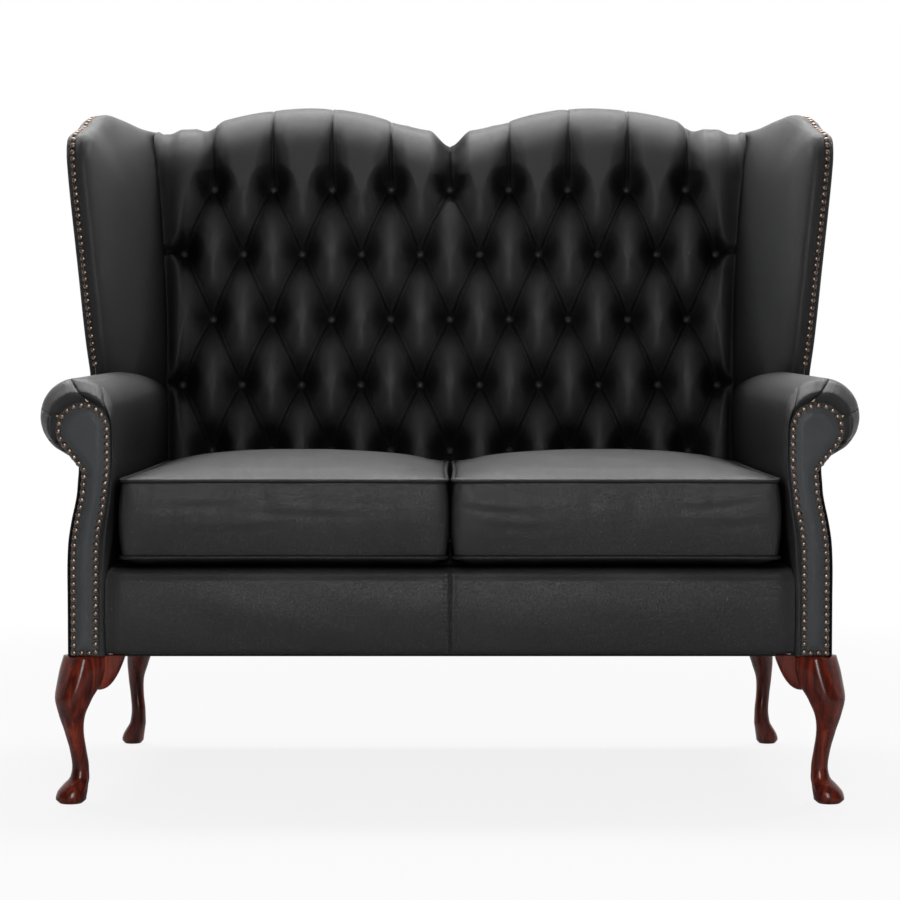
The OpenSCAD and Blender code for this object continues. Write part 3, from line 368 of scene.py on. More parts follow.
leather = makeLeather("blackLeather", (0.008, 0.008, 0.0083), (0.014, 0.014, 0.0143), 0.44)
# Painted light: the facings get a lighter, bluish copy of the black leather for their front-lit sheen
litFacingLeather = makeLeather("litFacingLeather", (0.024, 0.0258, 0.0275), (0.040, 0.043, 0.046), 0.46, wax=1.0)
pipingLeather = makeLeather("pipingLeather", (0.008, 0.008, 0.0085), (0.014, 0.014, 0.0145), 0.38, cell=900.0)


def makeWood():
    mat, tree, shader = newMaterial("redMahogany")
    coords = socketNode(tree, "ShaderNodeTexCoord", (-1100, 0))
    place = socketNode(tree, "ShaderNodeMapping", (-900, 0),
                       {"Scale": (60, 60, 6), "Vector": coords.outputs["Object"]}).outputs[0]
    grain = socketNode(tree, "ShaderNodeTexNoise", (-700, 100),
                       {"Scale": 1.6, "Detail": 6, "Distortion": 0.6, "Vector": place})
    pores = socketNode(tree, "ShaderNodeTexNoise", (-700, -200), {"Scale": 9, "Detail": 3, "Vector": place})
    colour = rampNode(tree, grain.outputs["Fac"], [
        (0.30, (0.024, 0.0026, 0.0011)), (0.52, (0.095, 0.0105, 0.0045)), (0.74, (0.21, 0.029, 0.011))],
        (-450, 100))
    rough = mathNode(tree, "ADD", mathNode(tree, "MULTIPLY", pores.outputs["Fac"], 0.12, (-450, -200)), 0.22,
                     (-250, -200))
    give(tree, shader, {"Base Color": colour, "Roughness": rough,
                        "Normal": addBump(tree, (-250, -400), pores.outputs["Fac"], 0.0002, 0.25)})
    shader.inputs["Specular IOR Level"].default_value = 0.2
    shader.inputs["Coat Weight"].default_value = 0.25
    shader.inputs["Coat Roughness"].default_value = 0.16
    return mat


def makeBrass():
    mat, tree, shader = newMaterial("antiqueBrass")
    coords = socketNode(tree, "ShaderNodeTexCoord", (-900, 0))
    age = socketNode(tree, "ShaderNodeTexNoise", (-700, 0),
                     {"Scale": 420, "Detail": 3, "Vector": coords.outputs["Object"]}).outputs["Fac"]
    colour = rampNode(tree, age, [(0.35, (0.085, 0.056, 0.042)), (0.7, (0.36, 0.28, 0.235))], (-450, 0))
    rough = mathNode(tree, "ADD", mathNode(tree, "MULTIPLY", age, 0.3, (-450, -200)), 0.2, (-250, -200))
    give(tree, shader, {"Base Color": colour, "Roughness": rough, "Metallic": 0.9})
    return mat


def makePlain(name, low, high, scale, rough, bump):
    # Frame woods, foams and cloths under the leather
    mat, tree, shader = newMaterial(name)
    coords = socketNode(tree, "ShaderNodeTexCoord", (-900, 0))
    place = socketNode(tree, "ShaderNodeMapping", (-750, 0),
                       {"Scale": scale, "Vector": coords.outputs["Object"]})
    speck = socketNode(tree, "ShaderNodeTexNoise", (-550, 0),
                       {"Scale": 1, "Detail": 4, "Vector": place.outputs[0]}).outputs["Fac"]
    give(tree, shader, {"Base Color": rampNode(tree, speck, [(0.3, low), (0.7, high)], (-300, 0)),
                        "Roughness": rough, "Normal": addBump(tree, (-250, -300), speck, 0.0005, bump)})
    return mat


mahogany = makeWood()
brass = makeBrass()
beechWood = makePlain("beechWood", (0.42, 0.27, 0.15), (0.62, 0.44, 0.27), (12, 90, 90), 0.55, 0.3)
whiteFoam = makePlain("whiteFoam", (0.70, 0.66, 0.56), (0.82, 0.79, 0.70), (300, 300, 300), 0.9, 0.5)
juteWeb = makePlain("juteWebbing", (0.30, 0.22, 0.13), (0.50, 0.40, 0.27), (500, 500, 500), 0.85, 0.6)
lining = makePlain("blackLining", (0.010, 0.010, 0.010), (0.022, 0.022, 0.022), (900, 900, 900), 0.85, 0.5)
twine = makePlain("linenTwine", (0.55, 0.49, 0.38), (0.74, 0.69, 0.57), (700, 700, 700), 0.8, 0.5)
thread = makePlain("blackThread", (0.020, 0.020, 0.020), (0.045, 0.045, 0.045), (1500, 1500, 1500), 0.6, 0.4)
steel = makePlain("zincSteel", (0.42, 0.42, 0.42), (0.58, 0.58, 0.58), (200, 200, 200), 0.35, 0.1)
print("materials made")

# Tufted back and crest
back = {"buttonGap": 0.101491, "rowGap": 0.1135, "topDrop": 0.145, "tuft": 0.042, "crestS": 0.757387,
        "crestHalf": 0.508097, "dip": 0.044, "crestT": 0.034, "skin": 0.1087, "buttonD": 0.015, "edge": 0.014,
        "reach": 0.0410, "steep": 1.8, "endDrop": 0.003, "roll": 0.085, "sideEase": 0.45, "sideLow": 0.20,
        "sideTop": 0.688}
crestTable = [[0, .94], [.03, .93], [.1, .82], [.2, .5], [.3, .2], [.4, .03], [.48, 0], [.56, .05], [.66, .2],
              [.76, .46], [.86, .82], [.92, .84], [1, .76], [1.3, .7]]
rowS = [back["crestS"] - back["topDrop"] - k * back["rowGap"] for k in range(5)]


def crestLine(x):
    share = smoothTable(crestTable, np.abs(x) / back["crestHalf"])[..., 0]
    return back["crestS"] - back["dip"] / ca * share


def crestLow(x):
    return crestLine(x) - back["crestT"] - 0.0012


def backSide(s):
    p = backPoint(0, back["edge"], s)
    y, z = p[..., 1] - sofa["frontY"], p[..., 2]
    q = sofa["backFoot"] + back["edge"] * ca
    low = sofa["baseHalf"] - 0.072 * math.cos(armTurn) - q * armSlope
    high = wingFace(wing["board"] + wing["pad"], y, z)
    return np.where(z < 0.6185, low, np.maximum(low, high)) + 0.004


def rowXs(k):
    g = back["buttonGap"]
    return [i * g for i in range(-4, 5)] if k % 2 == 0 else [(i + 0.5) * g for i in range(-5, 5)]


def pleatSpans():
    # Families of pleats: each pleat is x, s at both ends, its depth there, its reach and its rise between
    g, far = back["buttonGap"], 4.5 * back["buttonGap"]
    slopes = [[(a, rowS[k], a + way * g / 2, rowS[k + 1], 1.0, 1.0, back["reach"], 0.66) for k in range(4)
               for a in rowXs(k) if abs(a + way * g / 2) < far + 0.001] for way in (-1, 1)]
    levels = [(side * far, rowS[k], side * 0.53, rowS[k] + 0.003, 1.0, 0.24, 0.020, 0.55)
              for k in (1, 3) for side in (-1, 1)]
    drops = [(a, rowS[4], a, 0.0, 1.0, 0.45, 0.046, 0.1) for a in rowXs(4)]
    return [*slopes, levels, drops]


def pleatDepth(x, s, rise):
    # Depth of the buttoned leather behind the plane of the tufts. rise runs 0 to 1 from the top
    # buttons to the crest, and on to 2 down its rear
    g, deep = back["buttonGap"], back["tuft"]
    left = np.ones_like(x)
    nearest, fold, buttonD = np.full_like(x, 1.0), np.zeros_like(x), np.full_like(x, 1.0)
    for number, family in enumerate(pleatSpans()):
        most = np.zeros_like(x)
        for x0, s0, x1, s1, d0, d1, wide, dip in family:
            vx, vs = x1 - x0, s1 - s0
            t = np.clip(((x - x0) * vx + (s - s0) * vs) / (vx * vx + vs * vs), 0, 1)
            d = np.hypot(x - x0 - t * vx, s - s0 - t * vs)
            reach = wide * (1 - back["sideEase"] * smoothStep(4.5 * g - 0.006, 4.5 * g + 0.008, np.abs(x)))
            bottom = (d0 + (d1 - d0) * t) * (1 - dip * np.sin(np.pi * (t if number < 2 else t / 2)) ** 0.75)
            most = np.maximum(most, bottom * np.clip(1 - d / reach, 0, 1) ** back["steep"])
            ends = smoothStep(0.03, 0.16, t) * (smoothStep(0.03, 0.16, 1 - t) if number < 2 else 1)
            closer = d < nearest
            nearest = np.where(closer, d, nearest)
            fold = np.where(closer, ends * (0.6 if number == 2 else 1), fold)
        left *= 1 - most
    # Upright pleats from the top buttons over the crest: share of the rise, of the depth, of the reach
    upright = smoothTable([[0, 1, .56], [.1, .80, .60], [.26, .52, .62], [.45, .31, .56], [.62, .18, .50],
                           [.8, .08, .45], [1, .03, .4], [1.5, .01, .4], [2, 0, .4]], rise)
    side = x - np.clip(np.round(x / g), -4, 4) * g
    d = np.hypot(side, np.maximum(rowS[0] - s, 0))
    left *= 1 - upright[..., 0] * np.clip(1 - d / (upright[..., 1] * g / 2), 0, 1) ** back["steep"]
    left *= 1 - back["sideLow"] * smoothStep(4.55 * g, 4.78 * g, np.abs(x))
    for k in range(5):
        for a in rowXs(k):
            buttonD = np.minimum(buttonD, np.hypot(x - a, s - rowS[k]))
    depth = deep * (1 - left) + 0.0032 * np.exp(-(buttonD / 0.010) ** 2)
    mm = nearest * 1000
    lip = 2.4 * np.exp(-(mm / 1.5) ** 2) - 2.2 * np.exp(-((mm - 3.8) / 1.5) ** 2)
    depth -= lip * fold * np.where(s > rowS[0], 0, 1) * 0.001
    # Painted shade along each fold, with a lighter painted lip beside it, for the leather's colour
    line = (np.exp(-(mm / 2.4) ** 2) - 0.6 * np.exp(-((mm - 5.0) / 2.0) ** 2)) * fold * (s < rowS[0])
    groove = smoothStep(0.03, 0.12, rise) * (1 - 0.65 * smoothStep(0.5, 0.95, rise)) \
        * (1 - smoothStep(1.2, 1.6, rise))
    thin = 3.0 * np.exp(-(side * 1000 / 1.5) ** 2) - 1.6 * np.exp(-((side * 1000 - 3.8) / 1.5) ** 2)
    return depth + thin * groove * np.where(s >= rowS[0], 1, 0) * 0.001, line


def makeBack():
    g = back["buttonGap"]
    cells = 36                                      # cells of the mesh from a row of buttons to the next
    inner = np.linspace(-4.5 * g, 4.5 * g, 18 * cells + 1)
    sides, riseRows, arcRows = 15, 34, 34
    count = len(inner) + 2 * (sides - 1)
    rows = np.concatenate([np.linspace(0.015, rowS[4], 26)[:-1], np.linspace(rowS[4], rowS[0], 4 * cells + 1)])
    xs, ss, ov = [], [], []
    for j in range(len(rows) + riseRows + arcRows):
        share = min(max(j - len(rows) + 1, 0) / riseRows, 1)
        edgeS = rows[j] if j < len(rows) else rowS[0] + (back["sideTop"] - rowS[0]) * share
        left = np.linspace(-float(backSide(np.array(edgeS))), -4.5 * g, sides)[:-1]
        x = np.concatenate([left, inner, -left[::-1]])
        xs.append(x)
        ss.append(np.full(count, rows[j]) if j < len(rows)
                  else rowS[0] + (crestLine(x) - back["roll"] - rowS[0]) * share)
        ov.append(np.full(count, max(j - len(rows) - riseRows + 1, 0) / arcRows))
    x, s, over = np.array(xs), np.array(ss), np.array(ov)
    turn = over * math.pi
    toEdge = backSide(np.minimum(s, back["sideTop"])) - np.abs(x)
    tall = np.where(over > 0.5, crestLine(x) - crestLow(x), back["roll"])
    up = crestLine(x) - tall * (1 - np.sin(turn) ** 0.92)
    rise = np.clip((up - rowS[0]) / (crestLine(x) - rowS[0]), 0, 1) * (s >= rowS[0]) \
        + np.clip(2 * over - 1, 0, 1)
    up = np.where(over > 0, up, s) \
        - back["endDrop"] * (1 - smoothStep(0.0, 0.045, toEdge)) * smoothStep(0.55, 0.70, s)
    flatRise = np.clip((s - rowS[0]) / (crestLine(x) - rowS[0]), 0, 1)
    depth, line = pleatDepth(x, s, np.where(over > 0, rise, flatRise))
    hold = back["edge"] * (1 - np.sqrt(np.clip(1 - np.clip(1 - toEdge / 0.025, 0, 1) ** 2, 0, 1)))
    depth = depth * smoothStep(0.0, 0.012, toEdge) + hold * (1 - over)
    w = back["skin"] / 2 * (1 - np.cos(turn))
    pts = backPoint(x, w + depth * np.cos(turn), up - depth * np.sin(turn))
    rowsN, colsN = x.shape
    a = (np.arange(rowsN - 1)[:, None] * colsN + np.arange(colsN - 1)[None]).ravel()
    b, c, d = a + 1, a + colsN, a + colsN + 1
    # each cell's diagonal runs along the nearer slope of pleats
    px = (x / g + (s - rowS[0]) / (2 * back["rowGap"]))[:-1, :-1].ravel()
    qx = (x / g - (s - rowS[0]) / (2 * back["rowGap"]))[:-1, :-1].ravel()
    first = (np.abs(px - np.round(px)) < np.abs(qx - np.round(qx)))[:, None]
    one = np.where(first, np.stack([a, b, c], 1), np.stack([a, b, d], 1))
    two = np.where(first, np.stack([b, d, c], 1), np.stack([a, d, c], 1))
    obj = meshPiece("tuftedBack", pts, np.vstack([one, two]).tolist())
    # The depth and the fold line stay on the mesh to paint shade on the leather
    addValues(obj.data, "sink", depth * np.cos(turn))
    addValues(obj.data, "line", line)
    return finishPiece(obj, leather, ["back_cover", "crest_roll"])


makeBack()
print("tufted back made")


# Geometry nodes for repeats
def domeMesh(name, radius, high, sides, rings, lip=0.0):
    # A domed head towards +Z on a flat rim
    pts = [(0, 0, high)]
    for k in range(1, rings + 1):
        a = math.pi / 2 * k / rings
        for i in range(sides):
            t = 2 * math.pi * i / sides
            pts.append((radius * math.sin(a) * math.cos(t), radius * math.sin(a) * math.sin(t),
                        high * math.cos(a)))
    for i in range(sides):
        t = 2 * math.pi * i / sides
        pts.append((radius * 0.9 * math.cos(t), radius * 0.9 * math.sin(t), -high * 0.25 - lip))
    pts.append((0, 0, -high * 0.25 - lip))
    faces = [(0, 1 + i, 1 + (i + 1) % sides) for i in range(sides)]
    for k in range(rings):
        a = 1 + k * sides
        faces += [(a + i, a + sides + i, a + sides + (i + 1) % sides, a + (i + 1) % sides)
                  for i in range(sides)]
    last = 1 + rings * sides
    faces += [(last + (i + 1) % sides, last + i, len(pts) - 1) for i in range(sides)]
    return smoothMesh(name, pts, faces)


def repeatTree(name):
    # Sets one shape on each point of a mesh, turned to the point's "facing" attribute
    tree = bpy.data.node_groups.new(name, "GeometryNodeTree")
    for label, kind, value in (("Geometry", "NodeSocketGeometry", None), ("Shape", "NodeSocketObject", None),
                               ("Scale", "NodeSocketFloat", 1.0), ("Unevenness", "NodeSocketFloat", 0.04),
                               ("Seed", "NodeSocketInt", 3), ("Finish", "NodeSocketMaterial", None)):
        s = tree.interface.new_socket(name=label, in_out="INPUT", socket_type=kind)
        if value is not None:
            s.default_value = value
    tree.interface.new_socket(name="Geometry", in_out="OUTPUT", socket_type="NodeSocketGeometry")
    given = socketNode(tree, "NodeGroupInput", (-800, 0)).outputs
    end = socketNode(tree, "NodeGroupOutput", (800, 0))
    points = socketNode(tree, "GeometryNodeMeshToPoints", (-500, 100), {"Mesh": given["Geometry"]})
    way = socketNode(tree, "GeometryNodeInputNamedAttribute", (-500, -100), data_type="FLOAT_VECTOR")
    way.inputs["Name"].default_value = "facing"
    turn = socketNode(tree, "FunctionNodeAlignRotationToVector", (-300, -100), axis="Z")
    give(tree, turn, {"Vector": way.outputs["Attribute"]})
    shape = socketNode(tree, "GeometryNodeObjectInfo", (-300, -300), {"Object": given["Shape"]})
    vary = socketNode(tree, "FunctionNodeRandomValue", (-300, 300), data_type="FLOAT")
    give(tree, vary, {"Seed": given["Seed"], "Min": -1, "Max": 1})
    uneven = socketNode(tree, "ShaderNodeMath", (-100, 300),
                        {0: vary.outputs["Value"], 1: given["Unevenness"], 2: given["Scale"]},
                        operation="MULTIPLY_ADD")
    place = socketNode(tree, "GeometryNodeInstanceOnPoints", (0, 0),
                       {"Points": points.outputs["Points"], "Instance": shape.outputs["Geometry"],
                        "Rotation": turn.outputs["Rotation"], "Scale": uneven.outputs[0]})
    real = socketNode(tree, "GeometryNodeRealizeInstances", (250, 0), {"Geometry": place.outputs["Instances"]})
    finish = socketNode(tree, "GeometryNodeSetMaterial", (500, 0),
                        {"Geometry": real.outputs["Geometry"], "Material": given["Finish"]})
    give(tree, end, {"Geometry": finish.outputs["Geometry"]})
    return tree


repeatNodes = repeatTree("setOnPoints")


def setOnPoints(name, points, normals, head, material, uneven=0.04, seed=3):
    mesh = bpy.data.meshes.new(name + "Points")
    mesh.from_pydata(np.asarray(points, float).tolist(), [], [])
    attribute = mesh.attributes.new("facing", "FLOAT_VECTOR", "POINT")
    attribute.data.foreach_set("vector", np.asarray(normals, float).ravel())
    base, shape = addObject(name + "Points", mesh), addObject(name + "Shape", head)
    modifier = base.modifiers.new("repeat", "NODES")
    modifier.node_group = repeatNodes
    sockets = {i.name: i.identifier for i in repeatNodes.interface.items_tree if i.in_out == "INPUT"}
    for key, value in (("Shape", shape), ("Scale", 1.0), ("Unevenness", uneven), ("Seed", seed),
                       ("Finish", material)):
        modifier[sockets[key]] = value
    bpy.context.view_layer.update()
    result = evaluatedMesh(base)
    result.name = name
    obj = addObject(name, result)
    bpy.data.objects.remove(base)
    bpy.data.objects.remove(shape)
    return obj


def makeButtons():
    pts, nrm = [], []
    for k in range(5):
        for x in rowXs(k):
            pts.append(backPoint(x, back["tuft"] - 0.0005, rowS[k] - 0.001))
            nrm.append((0, -ca, sa))
    shape = domeMesh("buttonShape", back["buttonD"] / 2, 0.0036, 20, 6)
    obj = setOnPoints("backButtons", pts, nrm, shape, pipingLeather, 0.03, 11)
    return finishPiece(obj, pipingLeather, ["back_buttons"])


makeButtons()

# Arms
arm = {"rollX": -0.013, "rollZ": 0.584, "rollR": 0.0575, "waistOut": -0.018, "inner": -0.072,
       "tuckZ": 0.512987, "facing": 0.006, "headShare": 0.73, "deep": 0.82}
sideTable = [[0, 0], [0, .3], [0, .48], [.1, .6], [.24, .66], [.42, .72], [.66, .785], [.84, .845],
             [.92, .905], [1, .965], [1, 1]]
insideTable = [[1, 1], [1, .66], [.958, .44], [.9, .24], [.82, .08], [.79, 0]]
facingTable = [[.66, 0], [.66, .06], [.672, .44], [.7, .508], [.757, .572], [.812, .613], [.854, .68],
               [.91, .773], [.92, .87]]
headC = np.array([arm["rollX"] - 0.19 * arm["rollR"], arm["rollZ"] - 0.33 * arm["rollR"]])
headR = arm["headShare"] * arm["rollR"]


def arc(c, r, a0, a1, n):
    a = np.radians(np.linspace(a0, a1, n))
    return np.stack([c[0] + r * np.cos(a), c[1] + r * np.sin(a)], -1)


def sideLine(e=0.0):
    return np.array([[a * arm["waistOut"] - e, sofa["legH"] + b * (arm["tuckZ"] - sofa["legH"])]
                     for a, b in sideTable])


def insideLine():
    return np.array([[a * arm["inner"], sofa["deckZ"] + b * (arm["rollZ"] - sofa["deckZ"])]
                     for a, b in insideTable] + [[0.79 * arm["inner"], sofa["legH"]]])


def facingParts(e):
    # Outer side up to the head, the head, and the inner side down, set in by e
    outer = [[a * arm["waistOut"] - 0.0035 - e, sofa["legH"] + b * (arm["tuckZ"] - sofa["legH"])
              + (e if i == 0 else 0)] for i, (a, b) in enumerate(sideTable[:10])]
    head = arc(headC, headR - e, -48, 180, 17)
    inner = [[a * arm["inner"] + e, sofa["legH"] + b * (arm["rollZ"] - sofa["legH"])
              + (e if i == 0 else 0)] for i, (a, b) in enumerate(facingTable)][::-1]
    return np.array(outer), head, np.array(inner)


def facingLine(e):
    return np.vstack(facingParts(e))


def makeArmCover(left):
    side = "left" if left else "right"
    # Front ring pairs: the arm's outline and the facing's edge, point for point
    c = np.array([arm["rollX"], arm["rollZ"]])
    tuck = np.array([[arm["waistOut"], arm["tuckZ"]]])
    turnIn = np.vstack([arc(c, arm["rollR"], 138, 162, 3), [[-0.0716, 0.572]], insideLine()[1:6]])
    rim = [tuck, arc(c, arm["rollR"], -57.9, 138, 180), roundLine(turnIn, 90)[1:],
           np.linspace(insideLine()[5], insideLine()[6], 12)[1:]]
    inner = facingParts(0)[2]
    fLine = roundLine(inner, 90)
    order = np.argsort(fLine[:, 1])
    tail = np.vstack(rim[2:])
    below = tail[tail[:, 1] < arm["rollZ"]]
    head = 1 + 179 + len(tail) - len(below)
    zs = sofa["legH"] + (below[:, 1] - sofa["legH"]) * (headC[1] - sofa["legH"]) / (arm["rollZ"] - sofa["legH"])
    edge = np.vstack([arc(headC, headR, -48, 180, head + 1)[:-1],
                      np.stack([np.interp(zs, fLine[order, 1], fLine[order, 0]), zs], -1)])
    rim = np.vstack([rim[0], rim[1][1:], tail])
    gap = np.linalg.norm(rim - edge, axis=1)
    deep = np.clip(gap * 1.05, 0.012, 0.026)
    centre = headC
    angle = np.degrees(np.arctan2(rim[:, 1] - centre[1], rim[:, 0] - centre[0]))
    run = pathLengths(rim)
    pleats = []
    for a in (-16, 24, 73, 130):
        k = int(np.argmin(np.abs(angle[:head - 20] - a)))
        pleats.append(run[k])
    out = rim - edge
    out /= np.maximum(np.linalg.norm(out, axis=1), 1e-6)[:, None]
    rows = []
    fronts = 18
    for j in range(fronts + 1):
        a = math.pi / 2 * j / fronts
        share = math.sin(a) ** 0.9
        fall = 1 - math.cos(a)
        q = edge + (rim - edge) * share
        y = arm["facing"] + deep * fall
        # a soft roll of wadding just outside the facing
        y = y - 0.0062 * np.exp(-((share - 0.40) / 0.24) ** 2) * smoothStep(0.010, 0.024, gap)
        crease = np.zeros(len(rim))
        for p in pleats:
            d = (run - p) * (0.55 + 0.45 * share) * 1000
            crease += np.exp(-np.abs(d / 1.6) ** 1.3) * 0.7 + 0.35 * np.exp(-(d / 8.0) ** 2)
        fade = 1 - smoothStep(0.80, 1.0, j / fronts)
        amount = 0.0046 * crease * fade * smoothStep(0.008, 0.02, gap)
        y = y + amount * (1 - 0.6 * share)
        q = q - out * (amount * share * 0.8)[:, None]
        rows.append(np.stack([q[:, 0], y, q[:, 1]], -1))
    backs = 22
    far = arm["deep"]
    for j in range(1, backs + 1):
        t = j / backs
        y = arm["facing"] + deep + (far - arm["facing"] - deep) * t
        rows.append(np.stack([rim[:, 0], y, rim[:, 1]], -1))
    g = np.array(rows)
    pts = mirrored(armPoint(g[..., 0], g[..., 1], g[..., 2]), left)
    obj = meshPiece("armCover" + side.title(), pts, gridFaces(*g.shape[:2], flip=left))
    cutBehind(obj, Vector(rearPoint), rearNormal, close=False)
    return finishPiece(obj, leather, ["arm_cover_" + side, "arm_pad_" + side])


def makeFacing(left):
    # A slim padded panel: its height follows the distance from its edge
    side = "left" if left else "right"
    outer, _, inner = facingParts(0)
    outerLine = np.vstack([roundLine(outer, 90), arc(headC, headR, -48, 85, 50)[1:]])
    innerLine = np.vstack([roundLine(inner[::-1], 90), arc(headC, headR, 180, 85, 36)[1:]])
    a, b = evenly(outerLine, 170), evenly(innerLine, 170)
    across = 30
    u = 0.5 - 0.5 * np.cos(np.linspace(0, math.pi, across + 1))
    g = a[:, None] + (b - a)[:, None] * u[None, :, None]
    line = np.vstack([outerLine, innerLine[::-1]])
    line = np.vstack([line, line[:1]])
    d = distanceTo(g, line)
    y = arm["facing"] * (1 - np.clip(d / 0.0022, 0, 1) ** 0.5) - 0.0038 * smoothStep(0.0065, 0.020, d) \
        + 0.0010 * np.exp(-((d - 0.0055) / 0.0022) ** 2)
    pts = mirrored(armPoint(g[..., 0], y, g[..., 1]), left)
    obj = meshPiece("armFacing" + side.title(), pts, gridFaces(*g.shape[:2], flip=not left))
    return finishPiece(obj, litFacingLeather, ["arm_facing_" + side])


nailSet = {"radius": 0.00475, "high": 0.0031, "gap": 0.0116, "inset": 0.0095 * 0.58}


def along(line, distances):
    d = pathLengths(line)
    pts = np.stack([np.interp(distances, d, line[:, c]) for c in range(line.shape[1])], -1)
    k = np.clip(np.searchsorted(d, distances, side="right") - 1, 0, len(line) - 2)
    way = line[k + 1] - line[k]
    return pts, way / np.linalg.norm(way, axis=1)[:, None]


def makeFacingNails(left):
    side = "left" if left else "right"
    line = facingLine(nailSet["inset"])
    line = np.vstack([line, line[:1]])
    full = pathLengths(line)[-1]
    n = round(full / nailSet["gap"])
    p, _ = along(line, np.arange(n) * full / n)
    pts = mirrored(armPoint(p[:, 0], -0.0001, p[:, 1]), left)
    a = armTurn if left else -armTurn
    shape = domeMesh("nailShape", nailSet["radius"], nailSet["high"], 10, 3)
    obj = setOnPoints("facingNails" + side.title(), pts, [(math.sin(a), -math.cos(a), 0)] * n, shape, brass,
                      0.03, 5)
    return finishPiece(obj, brass, ["facing_nails_" + side])


def makeOutsideArm(left):
    side = "left" if left else "right"
    line = roundLine(sideLine(), 70)
    top = np.array([[arm["waistOut"] + 0.0035, arm["tuckZ"] + 0.006]])
    low = np.array([[line[0, 0] - 0.004, line[0, 1]], [line[0, 0] - 0.0006, line[0, 1]]])
    line = np.vstack([low, line, top])
    ys = np.concatenate([[0.009, 0.0045, 0.003, 0.0035, 0.006], np.linspace(0.01, arm["deep"], 26)])
    ins = np.concatenate([[0.0045, 0.0022, 0.0008, 0.0002, 0], np.zeros(26)])
    g = np.stack([np.stack([line[:, 0] - e + 0.0006, np.full(len(line), y), line[:, 1]], -1)
                  for y, e in zip(ys, ins)])
    pts = mirrored(armPoint(g[..., 0], g[..., 1], g[..., 2]), left)
    obj = meshPiece("outsideArm" + side.title(), pts, gridFaces(*g.shape[:2], flip=left))
    cutBehind(obj, Vector(rearPoint), rearNormal, close=False)
    return finishPiece(obj, leather, ["outside_arm_" + side])


for isLeft in (True, False):
    makeArmCover(isLeft)
    makeFacing(isLeft)
    makeFacingNails(isLeft)
    makeOutsideArm(isLeft)
print("arms made")

# Wings
wingTable = [[.012, 0], [0, .12], [0, .4], [.004, .76], [.016, .85], [.045, .905], [.09, .925], [.16, .945],
             [.24, .98], [.33, 1], [.5, .99], [.75, .965], [1.15, .96]]


def wingOutline():
    return np.array(wingTable) * [wing["deep"], wing["high"]]


def wingPillow(name, rings, swell, square, left, nodes, inside):
    # Rings of the outline: the rolled edge first, then one even swell in to the middle
    line = roundLine(wingOutline(), 190)
    foot = np.array([[line[-1, 0], -wing["cut"]], [line[0, 0], -wing["cut"]]])
    closed = np.vstack([line, np.linspace(line[-1], foot[0], 24)[1:], np.linspace(foot[0], foot[1], 30)[1:],
                        np.linspace(foot[1], line[0], 8)[1:-1]])
    c = np.array([wing["deep"] * 0.6, wing["high"] * 0.4])
    far = np.linalg.norm(c - closed, axis=1)[:, None]
    unit = (c - closed) / far
    rows = [np.stack([np.full(len(closed), x), *(closed + unit * e).T], -1) for x, e in rings]
    x0, e0 = rings[-1]
    for k in range(1, 29):
        t = (k / 28) ** 2
        q = closed + unit * e0 + (c - closed - unit * e0) * t
        x = x0 + swell * (1 - (1 - t) ** square) ** (1 / square)
        rows.append(np.stack([np.full(len(closed), x), *q.T], -1))
    g = np.array(rows)
    pts = mirrored(wingPoint(g[..., 0], g[..., 1], g[..., 2]), left)
    obj = meshPiece(name, pts, gridFaces(*g.shape[:2], wrap=True, flip=inside != left))
    weld(obj, 2e-5)
    cutBehind(obj, Vector(rearPoint), rearNormal, close=False)
    return finishPiece(obj, leather, nodes)


def makeWing(left):
    side = "left" if left else "right"
    inner = [(-0.0105, 0.004), (-0.0112, 0.0005), (-0.0135, -0.0002), (-0.018, -0.0012), (-0.0215, -0.0020)]
    wingPillow("wingCover" + side.title(), inner, -wing["swell"], 3.0, left,
               ["wing_cover_" + side, "wing_pad_" + side], True)
    outer = [(-0.0100, 0.004), (-0.0092, 0.0006), (-0.007, 0.0), (-0.0035, 0.0003), (-0.0012, 0.0016)]
    wingPillow("outsideWing" + side.title(), outer, 0.0042, 2.4, left, ["outside_wing_" + side], False)
    line = wingOutline()
    full = pathLengths(line)[-1]
    n = int((full - wing["deep"] * 0.2) // nailSet["gap"])
    q, _ = along(line, np.arange(1, n + 1) * nailSet["gap"])
    fine = roundLine(line, 400)
    near = np.argmin(np.linalg.norm(q[:, None] - fine[None], axis=2), axis=1)
    q = fine[near]
    tangent = np.gradient(fine, axis=0)[near]
    tangent /= np.linalg.norm(tangent, axis=1)[:, None]
    normal = np.stack([-tangent[:, 1], tangent[:, 0]], -1)
    pts = mirrored(wingPoint(-0.0125, q[:, 0] + normal[:, 0] * 0.0002, q[:, 1] + normal[:, 1] * 0.0002), left)
    tips = mirrored(wingPoint(-0.0125, q[:, 0] + normal[:, 0], q[:, 1] + normal[:, 1]), left)
    base = mirrored(wingPoint(-0.0125, q[:, 0], q[:, 1]), left)
    shape = domeMesh("nailShape", nailSet["radius"], nailSet["high"], 10, 3)
    obj = setOnPoints("wingNails" + side.title(), pts, tips - base, shape, brass, 0.03, 7)
    finishPiece(obj, brass, ["wing_nails_" + side])


for isLeft in (True, False):
    makeWing(isLeft)
print("wings made")

# Border
border = {"y": 0.0035, "half": 0.5196, "low": 0.2245, "top": 0.3462, "puff": 0.0085, "stitch": 0.0052}


def borderPoint(t):
    # t runs from the frame's underside up the front and back over the deck's edge
    low, top = border["low"], border["top"]
    path = [(0.034, low), (0.012, low), (0.0048, low + 0.0012), (0.0020, low + 0.006)]
    for z in np.linspace(low + 0.012, top - 0.010, 22):
        u = (z - low) / (top - low)
        path.append((border["y"] - border["puff"] * math.sin(math.pi * u) ** 0.85, z))
    path += [(0.0040, 0.3430), (0.0062, 0.3480), (0.0105, 0.3524), (0.0165, 0.3552), (0.030, 0.3562),
             (0.062, 0.3556)]
    line = roundLine(np.array(path), 101)
    return np.stack([np.interp(t, np.linspace(0, 1, 101), line[:, c]) for c in (0, 1)], -1)


